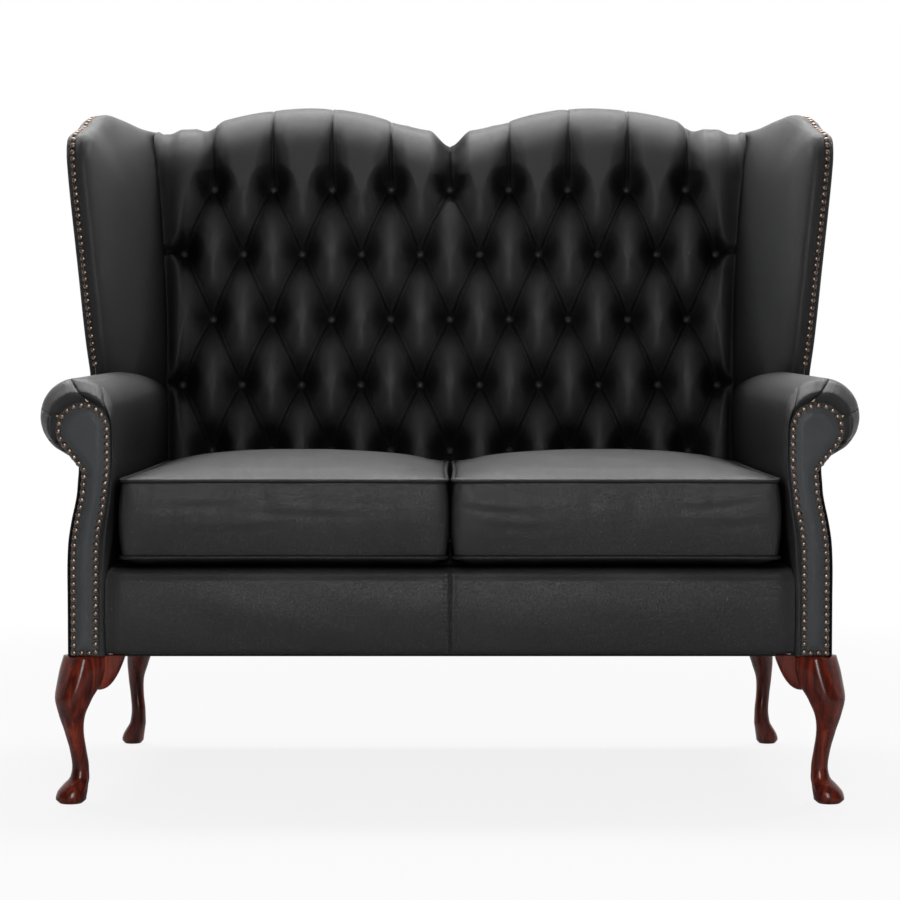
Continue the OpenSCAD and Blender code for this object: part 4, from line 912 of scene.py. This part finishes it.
def makeBorder():
    xs = np.concatenate([-np.linspace(border["half"], 0.02, 170), np.linspace(-0.019, 0.019, 47),
                         np.linspace(0.02, border["half"], 170)])
    ts = np.linspace(0, 1, 90)
    line = borderPoint(ts)
    rng = np.random.default_rng(4)
    x = np.meshgrid(xs, ts, indexing="ij")[0]
    y, z = np.broadcast_to(line[:, 0], x.shape), np.broadcast_to(line[:, 1], x.shape)
    out = smoothStep(0.030, 0.004, y)
    near = np.abs(x)
    seam = 0.0024 * np.exp(-(near / 0.0015) ** 2) - 0.0007 * np.exp(-((near - 0.0062) / 0.0038) ** 2)
    waves = np.zeros_like(x)
    for _ in range(8):
        a, b, c, d = rng.uniform(8, 34), rng.uniform(0, 6.3), rng.uniform(15, 60), rng.uniform(0, 6.3)
        waves += 0.00028 * np.sin(a * x + b + 0.6 * c * (z - 0.28)) * np.sin(c * z + d)
    pucker = 0.0006 * np.sin(z * 900) * np.exp(-(near / 0.011) ** 2)
    ends = 0.0065 * np.exp(-((border["half"] - near) / 0.014) ** 2)
    pts = np.stack([x, y + (seam + waves + pucker + ends) * out + sofa["frontY"], z], -1)
    obj = meshPiece("frontBorder", pts, gridFaces(len(xs), len(ts), flip=True))
    return finishPiece(obj, leather, ["border_cover", "border_pad"])


def stitchMesh():
    # One stitch: a short thread that dips into the leather at both ends
    pts, faces, sides = [], [], 6
    for k in range(5):
        u = k / 4 - 0.5
        lift = 0.00045 * math.cos(math.pi * u) - 0.0002
        for i in range(sides):
            a = 2 * math.pi * i / sides
            pts.append((0.00042 * math.cos(a), u * 0.0038, lift + 0.00042 * math.sin(a)))
    for k in range(4):
        for i in range(sides):
            faces.append((k * sides + i, k * sides + (i + 1) % sides, (k + 1) * sides + (i + 1) % sides,
                          (k + 1) * sides + i))
    return smoothMesh("stitch", pts, faces + [tuple(range(sides))[::-1], tuple(range(4 * sides, 5 * sides))])


def makeBorderStitches():
    line = borderPoint(np.linspace(0.28, 0.80, 200))
    n = int(pathLengths(line)[-1] / border["stitch"])
    q, way = along(line, (np.arange(n) + 0.5) * border["stitch"])
    pts, nrm = [], []
    for side in (-1, 1):
        for (y, z), (wy, wz) in zip(q, way):
            pts.append((side * 0.0052, y + sofa["frontY"] - 0.0006, z))
            nrm.append((0, -wz, wy))
    obj = setOnPoints("borderStitches", pts, nrm, stitchMesh(), thread, 0.03, 2)
    return finishPiece(obj, thread, [])


makeBorder()
makeBorderStitches()


def makeDeck():
    # The dark platform cloth that the cushions lie on
    ys, us = np.linspace(0.0565, 0.609, 40), np.linspace(-1, 1, 80)
    y, u = np.meshgrid(ys, us, indexing="ij")
    x = u * (sofa["baseHalf"] - 0.0628 - y * armSlope)
    edge = np.minimum(np.minimum(y - ys[0], ys[-1] - y), (1 - np.abs(u)) * 0.5)
    z = sofa["deckTop"] - 0.0004 - 0.008 * (1 - smoothStep(0, 0.012, edge))
    obj = meshPiece("deckCloth", np.stack([x, y + sofa["frontY"], z], -1), gridFaces(40, 80, flip=True))
    return finishPiece(obj, lining, ["seat_deck"])


makeDeck()


def makeOutsideBack():
    # One panel down the rear, drawn as x and the way up the slope, padded out from its turned edge
    skin = 0.1062
    def slope(x, z):
        way = (z - sofa["deckTop"] + (skin + sofa["hide"]) * sa) / ca
        y = sofa["backFoot"] + (skin + sofa["hide"]) * ca + way * sa
        return x, way, y
    outline = []
    for x, z in roundLine(sideLine(), 50):
        x, way, y = slope(x, z)
        outline.append((sofa["baseHalf"] + x - y * armSlope, way))
    for a in np.radians(np.linspace(-54, 170, 60)):
        q = (arm["rollX"] + arm["rollR"] * math.cos(a), arm["rollZ"] + arm["rollR"] * math.sin(a))
        x, way, y = slope(*q)
        x = sofa["baseHalf"] + x - y * armSlope
        if x > float(wingFace(0, y, q[1])):
            outline.append((x, way))
    for z in np.linspace(0.6425, wing["z"] + wing["high"] * 0.96 * cl - 0.004, 30):
        x, way, y = slope(0, z)
        outline.append((float(wingFace(0, y, z)), way))
    x0, way = outline[-1]
    for k in np.linspace(0.97, 0, 60):
        x = x0 * k
        outline.append((x, float(crestLow(np.array(x))) + (0.012 if k < 0.9 else 0.012 * (0.97 - k) / 0.07)))
    right = np.array(outline)
    closed = np.vstack([right, right[-2:0:-1] * [-1, 1], [[-right[0, 0], right[0, 1]]],
                        np.linspace((-right[0, 0], right[0, 1]), right[0], 40)[1:-1]])
    c = np.array([0, 0.21])
    far = np.linalg.norm(c - closed, axis=1)[:, None]
    unit = (c - closed) / far
    rows = []
    for w, e in ((-0.004, 0.0045), (-0.002, 0.0012), (0.0002, 0.0006), (0.0018, 0.0016), (0.0026, 0.004),
                 (0.0026, 0.0052)):
        q = closed + unit * e
        rows.append(backPoint(q[:, 0], skin + w, q[:, 1]))
    g = np.array(rows)
    obj = meshPiece("outsideBack", g, gridFaces(*g.shape[:2], wrap=True, flip=False)
                    + [list(range((len(rows) - 1) * len(closed), len(rows) * len(closed)))])
    weld(obj, 2e-5)
    return finishPiece(obj, leather, ["outside_back"])


makeOutsideBack()
print("border and panels made")

slackCrown, slackPuff = ((0.014, 0.004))
cushion = {"deep": 0.528, "thick": 0.116, "crown": slackCrown, "sidePuff": slackPuff, "drawIn": 0.007,
           "piping": 0.007, "out": 0.004, "low": 0.016, "run": 0.105, "gap": 0.0009, "slack": 0.008,
           "cap": 0.015, "voxel": 0.006, "pressure": 4, "frames": 20}
# Creases of the fronts: middle x and z, half length, slope, depth in mm
creases = [(-0.36, 0.449, 0.085, 0.05, 1.6), (-0.22, 0.435, 0.10, -0.03, 1.7), (-0.31, 0.412, 0.07, 0.06, 1.1),
           (-0.12, 0.452, 0.07, 0.04, 1.2), (0.07, 0.440, 0.06, -0.10, 1.8), (0.10, 0.414, 0.05, -0.06, 1.3),
           (0.40, 0.447, 0.07, 0.10, 1.7), (0.43, 0.420, 0.055, 0.05, 1.4), (0.24, 0.457, 0.08, 0.0, 0.9)]
lowWelt = sofa["deckTop"] + 0.0003 + cushion["low"]
weltZ = [lowWelt, lowWelt + cushion["thick"]]
crownTable = [[0, 0], [.06, .2], [.25, .5], [.55, .78], [.9, .94], [1.35, 1.0], [2.6, 1.04]]


def sideX(y):
    return sofa["baseHalf"] - 0.072 * 1.035 - y * armSlope - 0.0008


def cushionRing(e, count=220):
    # A level outline of the left cushion, set in by e, drawn in between its corners
    y0, y1 = -cushion["out"] + e, cushion["deep"] - cushion["out"] - e
    x0, a, b = cushion["gap"] + e, sideX(y0) - e, sideX(y1) - e
    r = max(0.016 - e / 3, 0.004)
    corners = np.array([[x0, y0], [a, y0], [b, y1], [x0, y1]])
    turn, way = [180, 270, 0, 90], np.array([[1, 1], [-1, 1], [-1, -1], [1, -1]])
    out = np.array([[0, -1], [1, 0], [0, 1], [-1, 0]])
    pull = cushion["drawIn"] * max(0, 1 - e / 0.06)
    line = []
    for k in range(4):
        p, q = corners[k], corners[(k + 1) % 4]
        c = p + r * way[k]
        line += list(arc(c, r, turn[k], turn[k] + 90, 12))
        for t in np.linspace(0.04, 0.96, 40):
            line.append(p + (q - p) * t - out[k] * pull * math.sin(math.pi * t) * (1 if k % 2 == 0 else 0.4))
    line = np.array(line)
    return evenly(np.vstack([line, line[:1]]), count + 1)[:-1]


def evened(mesh, value, times):
    # Evens out a value, or a move, between neighbours on the mesh
    edges = np.zeros(2 * len(mesh.edges), int)
    mesh.edges.foreach_get("vertices", edges)
    a, b = edges[::2], edges[1::2]
    count = len(mesh.vertices)
    share = np.maximum(np.bincount(a, minlength=count) + np.bincount(b, minlength=count), 1)
    for _ in range(times):
        cols = [(np.bincount(a, v[b], count) + np.bincount(b, v[a], count)) / share
                for v in np.atleast_2d(value.T)]
        value = 0.5 * value + 0.5 * np.array(cols).T.reshape(value.shape)
    return value


def fillCushion(obj):
    # The slack cover is blown up round its filling, held along its welts and where it lies on the deck
    scene = bpy.context.scene
    obj.modifiers.new("voxels", "REMESH").mode = "VOXEL"
    obj.modifiers["voxels"].voxel_size = cushion["voxel"]
    slack = evaluatedMesh(obj)
    obj.modifiers.clear()
    obj.data = slack
    count = len(slack.vertices)
    start = np.zeros(3 * count)
    slack.vertices.foreach_get("co", start)
    start = start.reshape(-1, 3)
    side = 1 if start[:, 0].mean() > 0 else -1
    ring = cushionRing(cushion["piping"] / 2, 400)
    line = np.vstack([ring, ring[:1]]) + [0, sofa["frontY"]]
    toRing = distanceTo(start[:, :2] * [side, 1], line)
    held = np.minimum(np.abs(start[:, 2] - weltZ[0]), np.abs(start[:, 2] - weltZ[1]))
    pinned = np.where(((held < 0.005) & (toRing < 0.008)) | (start[:, 2] < weltZ[0] - 0.003))[0]
    obj.vertex_groups.new(name="held").add(pinned.tolist(), 1.0, "REPLACE")
    cloth = obj.modifiers.new("cover", "CLOTH")
    cloth.settings.vertex_group_mass = "held"
    cloth.settings.quality = 4
    cloth.settings.use_pressure = True
    cloth.settings.uniform_pressure_force = cushion["pressure"]
    cloth.settings.shrink_min = -cushion["slack"]
    cloth.settings.effector_weights.gravity = 0
    cloth.point_cache.frame_end = cushion["frames"]
    for k in range(1, cushion["frames"] + 1):
        scene.frame_set(k)
    full = evaluatedMesh(obj)
    obj.modifiers.clear()
    scene.frame_set(1)
    end = np.zeros(3 * count)
    full.vertices.foreach_get("co", end)
    move = end.reshape(-1, 3) - start
    far = np.linalg.norm(move, axis=1)[:, None]
    print("cushion cover moved %.1f mm at most" % (far.max() * 1000))
    move *= np.minimum(1, cushion["cap"] / np.maximum(far, 1e-6))
    start = start + evened(slack, move, 8)
    start[:, 0] = side * np.clip(start[:, 0] * side, cushion["gap"] * 0.7, sideX(start[:, 1] - sofa["frontY"]))
    start[:, 1] = np.maximum(start[:, 1], sofa["frontY"] - 0.011)
    face = smoothStep(-0.036, -0.004, -(start[:, 1] - sofa["frontY"]) - 0.012) \
        * smoothStep(0.0, 0.016, start[:, 2] - weltZ[0]) * smoothStep(0.0, 0.016, weltZ[1] - start[:, 2])
    for x, z, wide, turn, deep in creases:
        u = (start[:, 0] - x) / wide
        v = (start[:, 2] - z - turn * (start[:, 0] - x) - 0.004 * u * u) / 0.0055
        start[:, 1] += face * deep * np.exp(-u * u) * (np.exp(-v * v) - 0.7 * np.exp(-(v - 2.0) ** 2)) * 0.0008
    slack.vertices.foreach_set("co", start.ravel())
    slack.polygons.foreach_set("use_smooth", [True] * len(slack.polygons))
    obj.vertex_groups.clear()
    grow = obj.modifiers.new("fine", "SUBSURF")
    grow.levels = grow.render_levels = 1
    obj.data = evaluatedMesh(obj)
    obj.modifiers.clear()


def makeCushion(left):
    side = "left" if left else "right"
    pin = cushion["piping"] * 0.6
    rings = []
    for t, e in ((0.0, 2.0), (0.0, 1.2), (0.0, 0.8), (0.02, 0.5), (0.10, 0.32), (0.35, 0.16), (0.75, 0.05)):
        rings.append((pin + e * cushion["run"], weltZ[0] - cushion["low"] * (1 - t)))
    rings.append((pin, weltZ[0]))
    for k in range(1, 22):
        t = k / 22
        rings.append((pin - cushion["sidePuff"] * math.sin(math.pi * t) ** 0.8,
                      weltZ[0] + cushion["thick"] * t))
    rings.append((pin, weltZ[1]))
    for e in (0.015, 0.03, 0.06, 0.1, 0.16, 0.25, 0.36, 0.5, 0.66, 0.85, 1.05, 1.3, 1.6, 1.95, 2.25):
        rings.append((pin + e * cushion["run"], weltZ[1] + cushion["crown"]
                      * float(smoothTable(crownTable, np.array(e))[0])))
    rows = []
    for e, z in rings:
        q = cushionRing(e)
        rows.append(np.stack([q[:, 0], q[:, 1] + sofa["frontY"], np.full(len(q), z)], -1))
    pts, faces = closedRings(rows)
    obj = meshPiece("seatCushion" + side.title(), mirrored(pts, left), faces)
    weld(obj)
    fillCushion(obj)
    return finishPiece(obj, leather, ["cushion_cover_" + side, "cushion_foam_" + side],
                       "seat_cushion_" + side)


def makePiping(left):
    side = "left" if left else "right"
    r = cushion["piping"] / 2
    q = cushionRing(r, 240)
    n = len(q)
    tangent = np.roll(q, -1, 0) - np.roll(q, 1, 0)
    tangent /= np.linalg.norm(tangent, axis=1)[:, None]
    out = np.stack([tangent[:, 1], -tangent[:, 0]], -1)
    pts, faces = [], []
    sides = 12
    for z in weltZ:
        start = len(pts)
        for k in range(n):
            for i in range(sides):
                a = 2 * math.pi * i / sides
                p = q[k] + out[k] * r * math.cos(a)
                pts.append((p[0], p[1] + sofa["frontY"], z + r * math.sin(a)))
        for k in range(n):
            for i in range(sides):
                a, b = start + k * sides + i, start + k * sides + (i + 1) % sides
                c, d = start + (k + 1) % n * sides + i, start + (k + 1) % n * sides + (i + 1) % sides
                faces.append((a, c, d, b))
    obj = meshPiece("cushionPiping" + side.title(), mirrored(pts, left), faces)
    weld(obj)
    return finishPiece(obj, pipingLeather, ["cushion_piping_" + side], "seat_cushion_" + side)


for isLeft in (True, False):
    makeCushion(isLeft)
    makePiping(isLeft)
print("cushions made")

# Legs
leg = {"knee": 0.058, "frontX": 0.55164, "frontY": 0.02436, "rearX": 0.524378, "rearY": 0.599511}
frontTable = [[0, .365, .62], [.03, .365, .8], [.07, .34, .79], [.12, .26, .66], [.17, .16, .5],
              [.24, .14, .43], [.35, .19, .42], [.48, .28, .47], [.6, .33, .63], [.7, .3, .85], [.8, .18, 1],
              [.9, .08, 1.04], [1, 0, .98]]
rearTable = [[0, .34, .5], [.03, .34, .64], [.07, .31, .62], [.12, .24, .54], [.17, .17, .46],
             [.26, .15, .4], [.38, .19, .38], [.5, .22, .42], [.62, .17, .56], [.75, .08, .68],
             [.88, .02, .72], [1, 0, .72]]


def makeLeg(front, left):
    table = frontTable if front else rearTable
    heights = np.concatenate([[0, 0.004, 0.012], np.linspace(0.025, 1, 54)])
    rows = []
    for h in heights:
        swing, wide = smoothTable(table, np.array(h))
        if h < 0.02:
            wide = float(wide) * (0.93 + 3.5 * h)
        power = 2 + 2 * h ** 2
        a = np.linspace(0, 2 * math.pi, 40, endpoint=False)
        r = wide * leg["knee"] / 2 / (np.abs(np.cos(a)) ** power + np.abs(np.sin(a)) ** power) ** (1 / power)
        rows.append(np.stack([swing * leg["knee"] * math.sqrt(2) + r * np.cos(a), r * np.sin(a),
                              np.full(40, h * sofa["legH"])], -1))
    pts, faces = closedRings(rows)
    turn = math.radians(-45 if front else 45)
    c, s = math.cos(turn), math.sin(turn)
    x0, y0 = (leg["frontX"], leg["frontY"]) if front else (leg["rearX"], leg["rearY"])
    place = np.stack([pts[:, 0] * c - pts[:, 1] * s + x0, pts[:, 0] * s + pts[:, 1] * c + y0 + sofa["frontY"],
                      pts[:, 2]], -1)
    side = "Left" if left else "Right"
    if front:
        ears = [place]
        for dx, dy in ((-1, 0), (0, 1)):
            rows = []
            for t in np.linspace(0, 1, 22):
                h = sofa["legH"] * (0.02 + 0.22 * (1 - t ** 2.4))
                wide = leg["knee"] * 0.34
                sect = []
                for a in np.linspace(0, math.pi, 13):
                    c = math.cos(a)
                    sect.append((c * 0.5 * abs(c) ** -0.25 if abs(c) > 1e-6 else 0, -math.sin(a) ** 0.8))
                d = leg["knee"] * (0.3 + 0.72 * t)
                rows.append([(x0 + dx * d + (wide * u if dx == 0 else 0),
                              y0 + dy * d + (wide * u if dy == 0 else 0) + sofa["frontY"],
                              sofa["legH"] + v * h) for u, v in sect])
            e = np.array(rows)
            start = sum(len(q) for q in ears)
            flipEar = dx != 0
            faces += gridFaces(*e.shape[:2], start=start, flip=flipEar)
            endRing = list(range(start + (e.shape[0] - 1) * e.shape[1], start + e.shape[0] * e.shape[1]))
            faces.append(tuple(endRing[::-1] if flipEar else endRing))
            ears.append(e.reshape(-1, 3))
        place = np.vstack(ears)
    obj = meshPiece(("frontLeg" if front else "rearLeg") + side, mirrored(place, left), faces)
    weld(obj)
    node = ("front_leg_" if front else "rear_leg_") + side.lower()
    return finishPiece(obj, mahogany, [node])


for isLeft in (True, False):
    makeLeg(True, isLeft)
    makeLeg(False, isLeft)
print("legs made")

# Carried-over nodes
slotLooks = {"beech": beechWood, "stuffing": whiteFoam, "webbing": juteWeb, "lining": lining, "twine": twine,
             "steel": steel, "leather": leather, "mahogany": mahogany, "antique_brass": brass}
nodeSlots = {p["node"]: p["material_slot"] for p in frame["record"]["subparts"]}
for nodeName, obj in frame["nodes"].items():
    look = slotLooks[nodeSlots.get(nodeName, "leather")]
    if not obj.data.materials:
        obj.data.materials.append(look)
    for k in range(len(obj.material_slots)):
        obj.material_slots[k].material = look


# Painted shade in the hollows of the leather
hollowShade = {"rays": 20, "turn": 2.399963, "step": 0.010, "lift": 0.016, "far": 0.42, "smooth": 14,
           "sinkShare": 0.5, "foldShadeShare": 0.42}


def paintHollowShade():
    # Painted shade: each point's share of rays that the solids round it stop, nearer ones counting more, and on
    # the back its depth and its folds, go to the mesh attribute that darkens the leather and dulls its coat.
    # One ray fan serves each small patch
    points, faces, at = [(-3, -3, 0), (3, -3, 0), (3, 3, 0), (-3, 3, 0)], [(0, 1, 2), (0, 2, 3)], 4
    for name in ("back_cover", "crest_roll", "border_cover", "seat_deck", "arm_cover_left", "arm_cover_right",
                 "wing_cover_left", "wing_cover_right", "outside_arm_left", "outside_arm_right", "outside_back",
                 "outside_wing_left", "outside_wing_right", "cushion_cover_left", "cushion_cover_right",
                 "arm_facing_left", "arm_facing_right"):
        mesh = frame["nodes"][name].data
        flat = np.zeros(3 * len(mesh.vertices))
        mesh.vertices.foreach_get("co", flat)
        points += [tuple(p) for p in flat.reshape(-1, 3)]
        mesh.calc_loop_triangles()
        tri = np.zeros(3 * len(mesh.loop_triangles), int)
        mesh.loop_triangles.foreach_get("vertices", tri)
        faces += [tuple(t) for t in (tri.reshape(-1, 3) + at)]
        at += len(mesh.vertices)
    around = BVHTree.FromPolygons(points, faces)
    n = hollowShade["rays"]
    k = np.arange(n) + 0.5
    high, angle = np.sqrt(1 - k / n), k * hollowShade["turn"]
    fan = np.stack([np.sqrt(1 - high ** 2) * np.cos(angle), np.sqrt(1 - high ** 2) * np.sin(angle), high], 1)
    for obj in [o for o in bpy.context.scene.objects if o.type == "MESH" and o.data.materials
                and o.data.materials[0] in (leather, pipingLeather)
                and o.name not in frame["nodes"]]:
        mesh, count = obj.data, len(obj.data.vertices)
        co, normal = np.zeros(3 * count), np.zeros(3 * count)
        mesh.vertices.foreach_get("co", co)
        mesh.vertex_normals.foreach_get("vector", normal)
        co, normal = co.reshape(-1, 3), normal.reshape(-1, 3)
        sink, line = np.zeros(count), np.zeros(count)
        if "sink" in mesh.attributes:
            mesh.attributes["sink"].data.foreach_get("value", sink)
            mesh.attributes["line"].data.foreach_get("value", line)
            co = co - sink[:, None] * np.array([0, ca, -sa])
        cell = np.round(np.hstack([co / hollowShade["step"], normal * 1.2])).astype(int)
        first, same = np.unique(cell, axis=0, return_index=True, return_inverse=True)[1:]
        p, up = co[first] + normal[first] * hollowShade["lift"], normal[first]
        side = np.cross(up, np.where(np.abs(up[:, :1]) > 0.7, [[0, 1, 0]], [[1, 0, 0]]))
        side /= np.linalg.norm(side, axis=1)[:, None]
        basis = np.stack([side, np.cross(up, side), up], 1)
        ways = np.einsum("kj,pji->pki", fan, basis)
        shut = np.zeros(len(p))
        for i in range(len(p)):
            start = Vector(p[i])
            for way in ways[i].tolist():
                hit = around.ray_cast(start, way, hollowShade["far"])[3]
                if hit is not None:
                    shut[i] += 1 - hit / hollowShade["far"]
        value = (shut / n)[same.ravel()]
        value = evened(mesh, value, hollowShade["smooth"])
        # Painted shade deeper in the tufts and along the folds, and a lighter painted lip beside each fold
        value = value + hollowShade["sinkShare"] * np.clip(sink / back["tuft"], 0, 1) \
            + hollowShade["foldShadeShare"] * line
        addValues(mesh, "paintedShade", np.clip(value, 0, 1))
        print(obj.name, count, len(p), "hollow %.2f to %.2f" % (value.min(), value.max()))


paintHollowShade()
print("hollows marked")

# Stage, lights and camera
stage = {"glow": 0.85, "skyLight": 0.08, "topWatts": 58, "frontWatts": 74, "frontTone": 0.10}


def studioTone(tree, place, path, scale):
    # The studio is white behind the sofa and darker where the camera stands, as reflections show
    split = socketNode(tree, "ShaderNodeSeparateXYZ", (-500, 700), {0: place})
    tone = rampNode(tree, mathNode(tree, "MULTIPLY_ADD", split.outputs["Y"], 0.5 * scale, (-350, 700)),
                    [(0.5, (stage["frontTone"],) * 3), (0.68, (1, 1, 1))], (-200, 700))
    return mathNode(tree, "MAXIMUM", tone, path.outputs["Is Camera Ray"], (0, 700))


def makeStage():
    mat, tree, shader = newMaterial("paleFloor")
    shader.inputs["Base Color"].default_value = (0.45, 0.45, 0.45, 1)
    shader.inputs["Roughness"].default_value = 0.9
    out = tree.nodes["Material Output"]
    path = socketNode(tree, "ShaderNodeLightPath", (-400, 300))
    seen = mathNode(tree, "MAXIMUM", path.outputs["Is Camera Ray"],
                    mathNode(tree, "MAXIMUM", path.outputs["Is Glossy Ray"],
                             path.outputs["Is Transmission Ray"], (-200, 200)), (0, 300))
    coords = socketNode(tree, "ShaderNodeTexCoord", (-700, 500))
    away = socketNode(tree, "ShaderNodeVectorMath", (-500, 500), {0: coords.outputs["Object"]},
                      operation="LENGTH")
    near = rampNode(tree, mathNode(tree, "MULTIPLY", away.outputs["Value"], 0.25, (-350, 500)),
                    [(0.12, (stage["glow"],) * 3), (0.6, (1, 1, 1))], (-200, 500))
    seen = mathNode(tree, "MULTIPLY", seen, near, (100, 300))
    seen = mathNode(tree, "MULTIPLY", seen, studioTone(tree, coords.outputs["Object"], path, 0.4), (250, 300))
    glow = socketNode(tree, "ShaderNodeEmission", (0, 100), {"Color": (1, 1, 1, 1), "Strength": 1.0})
    mix = socketNode(tree, "ShaderNodeMixShader", (200, 200),
                     {0: seen, 1: shader.outputs[0], 2: glow.outputs[0]})
    give(tree, out, {"Surface": mix.outputs[0]})
    mesh = bpy.data.meshes.new("floor")
    mesh.from_pydata([(-6, -6, 0), (6, -6, 0), (6, 6, 0), (-6, 6, 0)], [], [(0, 1, 2, 3)])
    mesh.materials.append(mat)
    addObject("floor", mesh)


def makeLamp(name, place, target, size, energy, spread=180):
    data = bpy.data.lights.new(name, "AREA")
    data.shape = "RECTANGLE"
    data.size, data.size_y = size
    data.energy = energy
    data.spread = math.radians(spread)
    lamp = addObject(name, data)
    lamp.location = place
    lamp.rotation_euler = (Vector(target) - Vector(place)).to_track_quat("-Z", "Y").to_euler()
    return lamp


makeStage()
world = bpy.data.worlds.new("studio")
bpy.context.scene.world = world
world.use_nodes = True
worldTree = world.node_tree
sky = worldTree.nodes["Background"]
give(worldTree, sky, {"Color": (1, 1, 1, 1), "Strength": stage["skyLight"]})
rays = socketNode(worldTree, "ShaderNodeLightPath", (-300, 200))
around = socketNode(worldTree, "ShaderNodeTexCoord", (-700, 500))
whiteTone = studioTone(worldTree, around.outputs["Generated"], rays, 1.0)
white = socketNode(worldTree, "ShaderNodeBackground", (0, -200), {"Color": whiteTone, "Strength": 1.0})
backdrop = mathNode(worldTree, "MAXIMUM", rays.outputs["Is Camera Ray"],
                    mathNode(worldTree, "MAXIMUM", rays.outputs["Is Glossy Ray"],
                             rays.outputs["Is Transmission Ray"], (-100, 200)), (80, 200))
blend = socketNode(worldTree, "ShaderNodeMixShader", (250, 0),
                   {0: backdrop, 1: sky.outputs[0], 2: white.outputs[0]})
give(worldTree, worldTree.nodes["World Output"], {"Surface": blend.outputs[0]})

makeLamp("topLight", (0, 0.80, 2.6), (0, -0.05, 0.6), (3.2, 0.7), stage["topWatts"], 120)
makeLamp("frontLight", (0, -3.4, 1.5), (0, 0, 0.6), (0.9, 1.9), stage["frontWatts"])

cameraData = bpy.data.cameras.new("camera")
cameraData.lens = 120
cameraData.sensor_width = 36
cameraData.sensor_fit = "HORIZONTAL"
camera = addObject("camera", cameraData)
camera.location = (0, sofa["frontY"] - 4.5, 0.759)
camera.rotation_euler = (math.radians(87.138), 0, 0)
bpy.context.scene.camera = camera
bpy.context.scene.view_settings.view_transform = "Standard"
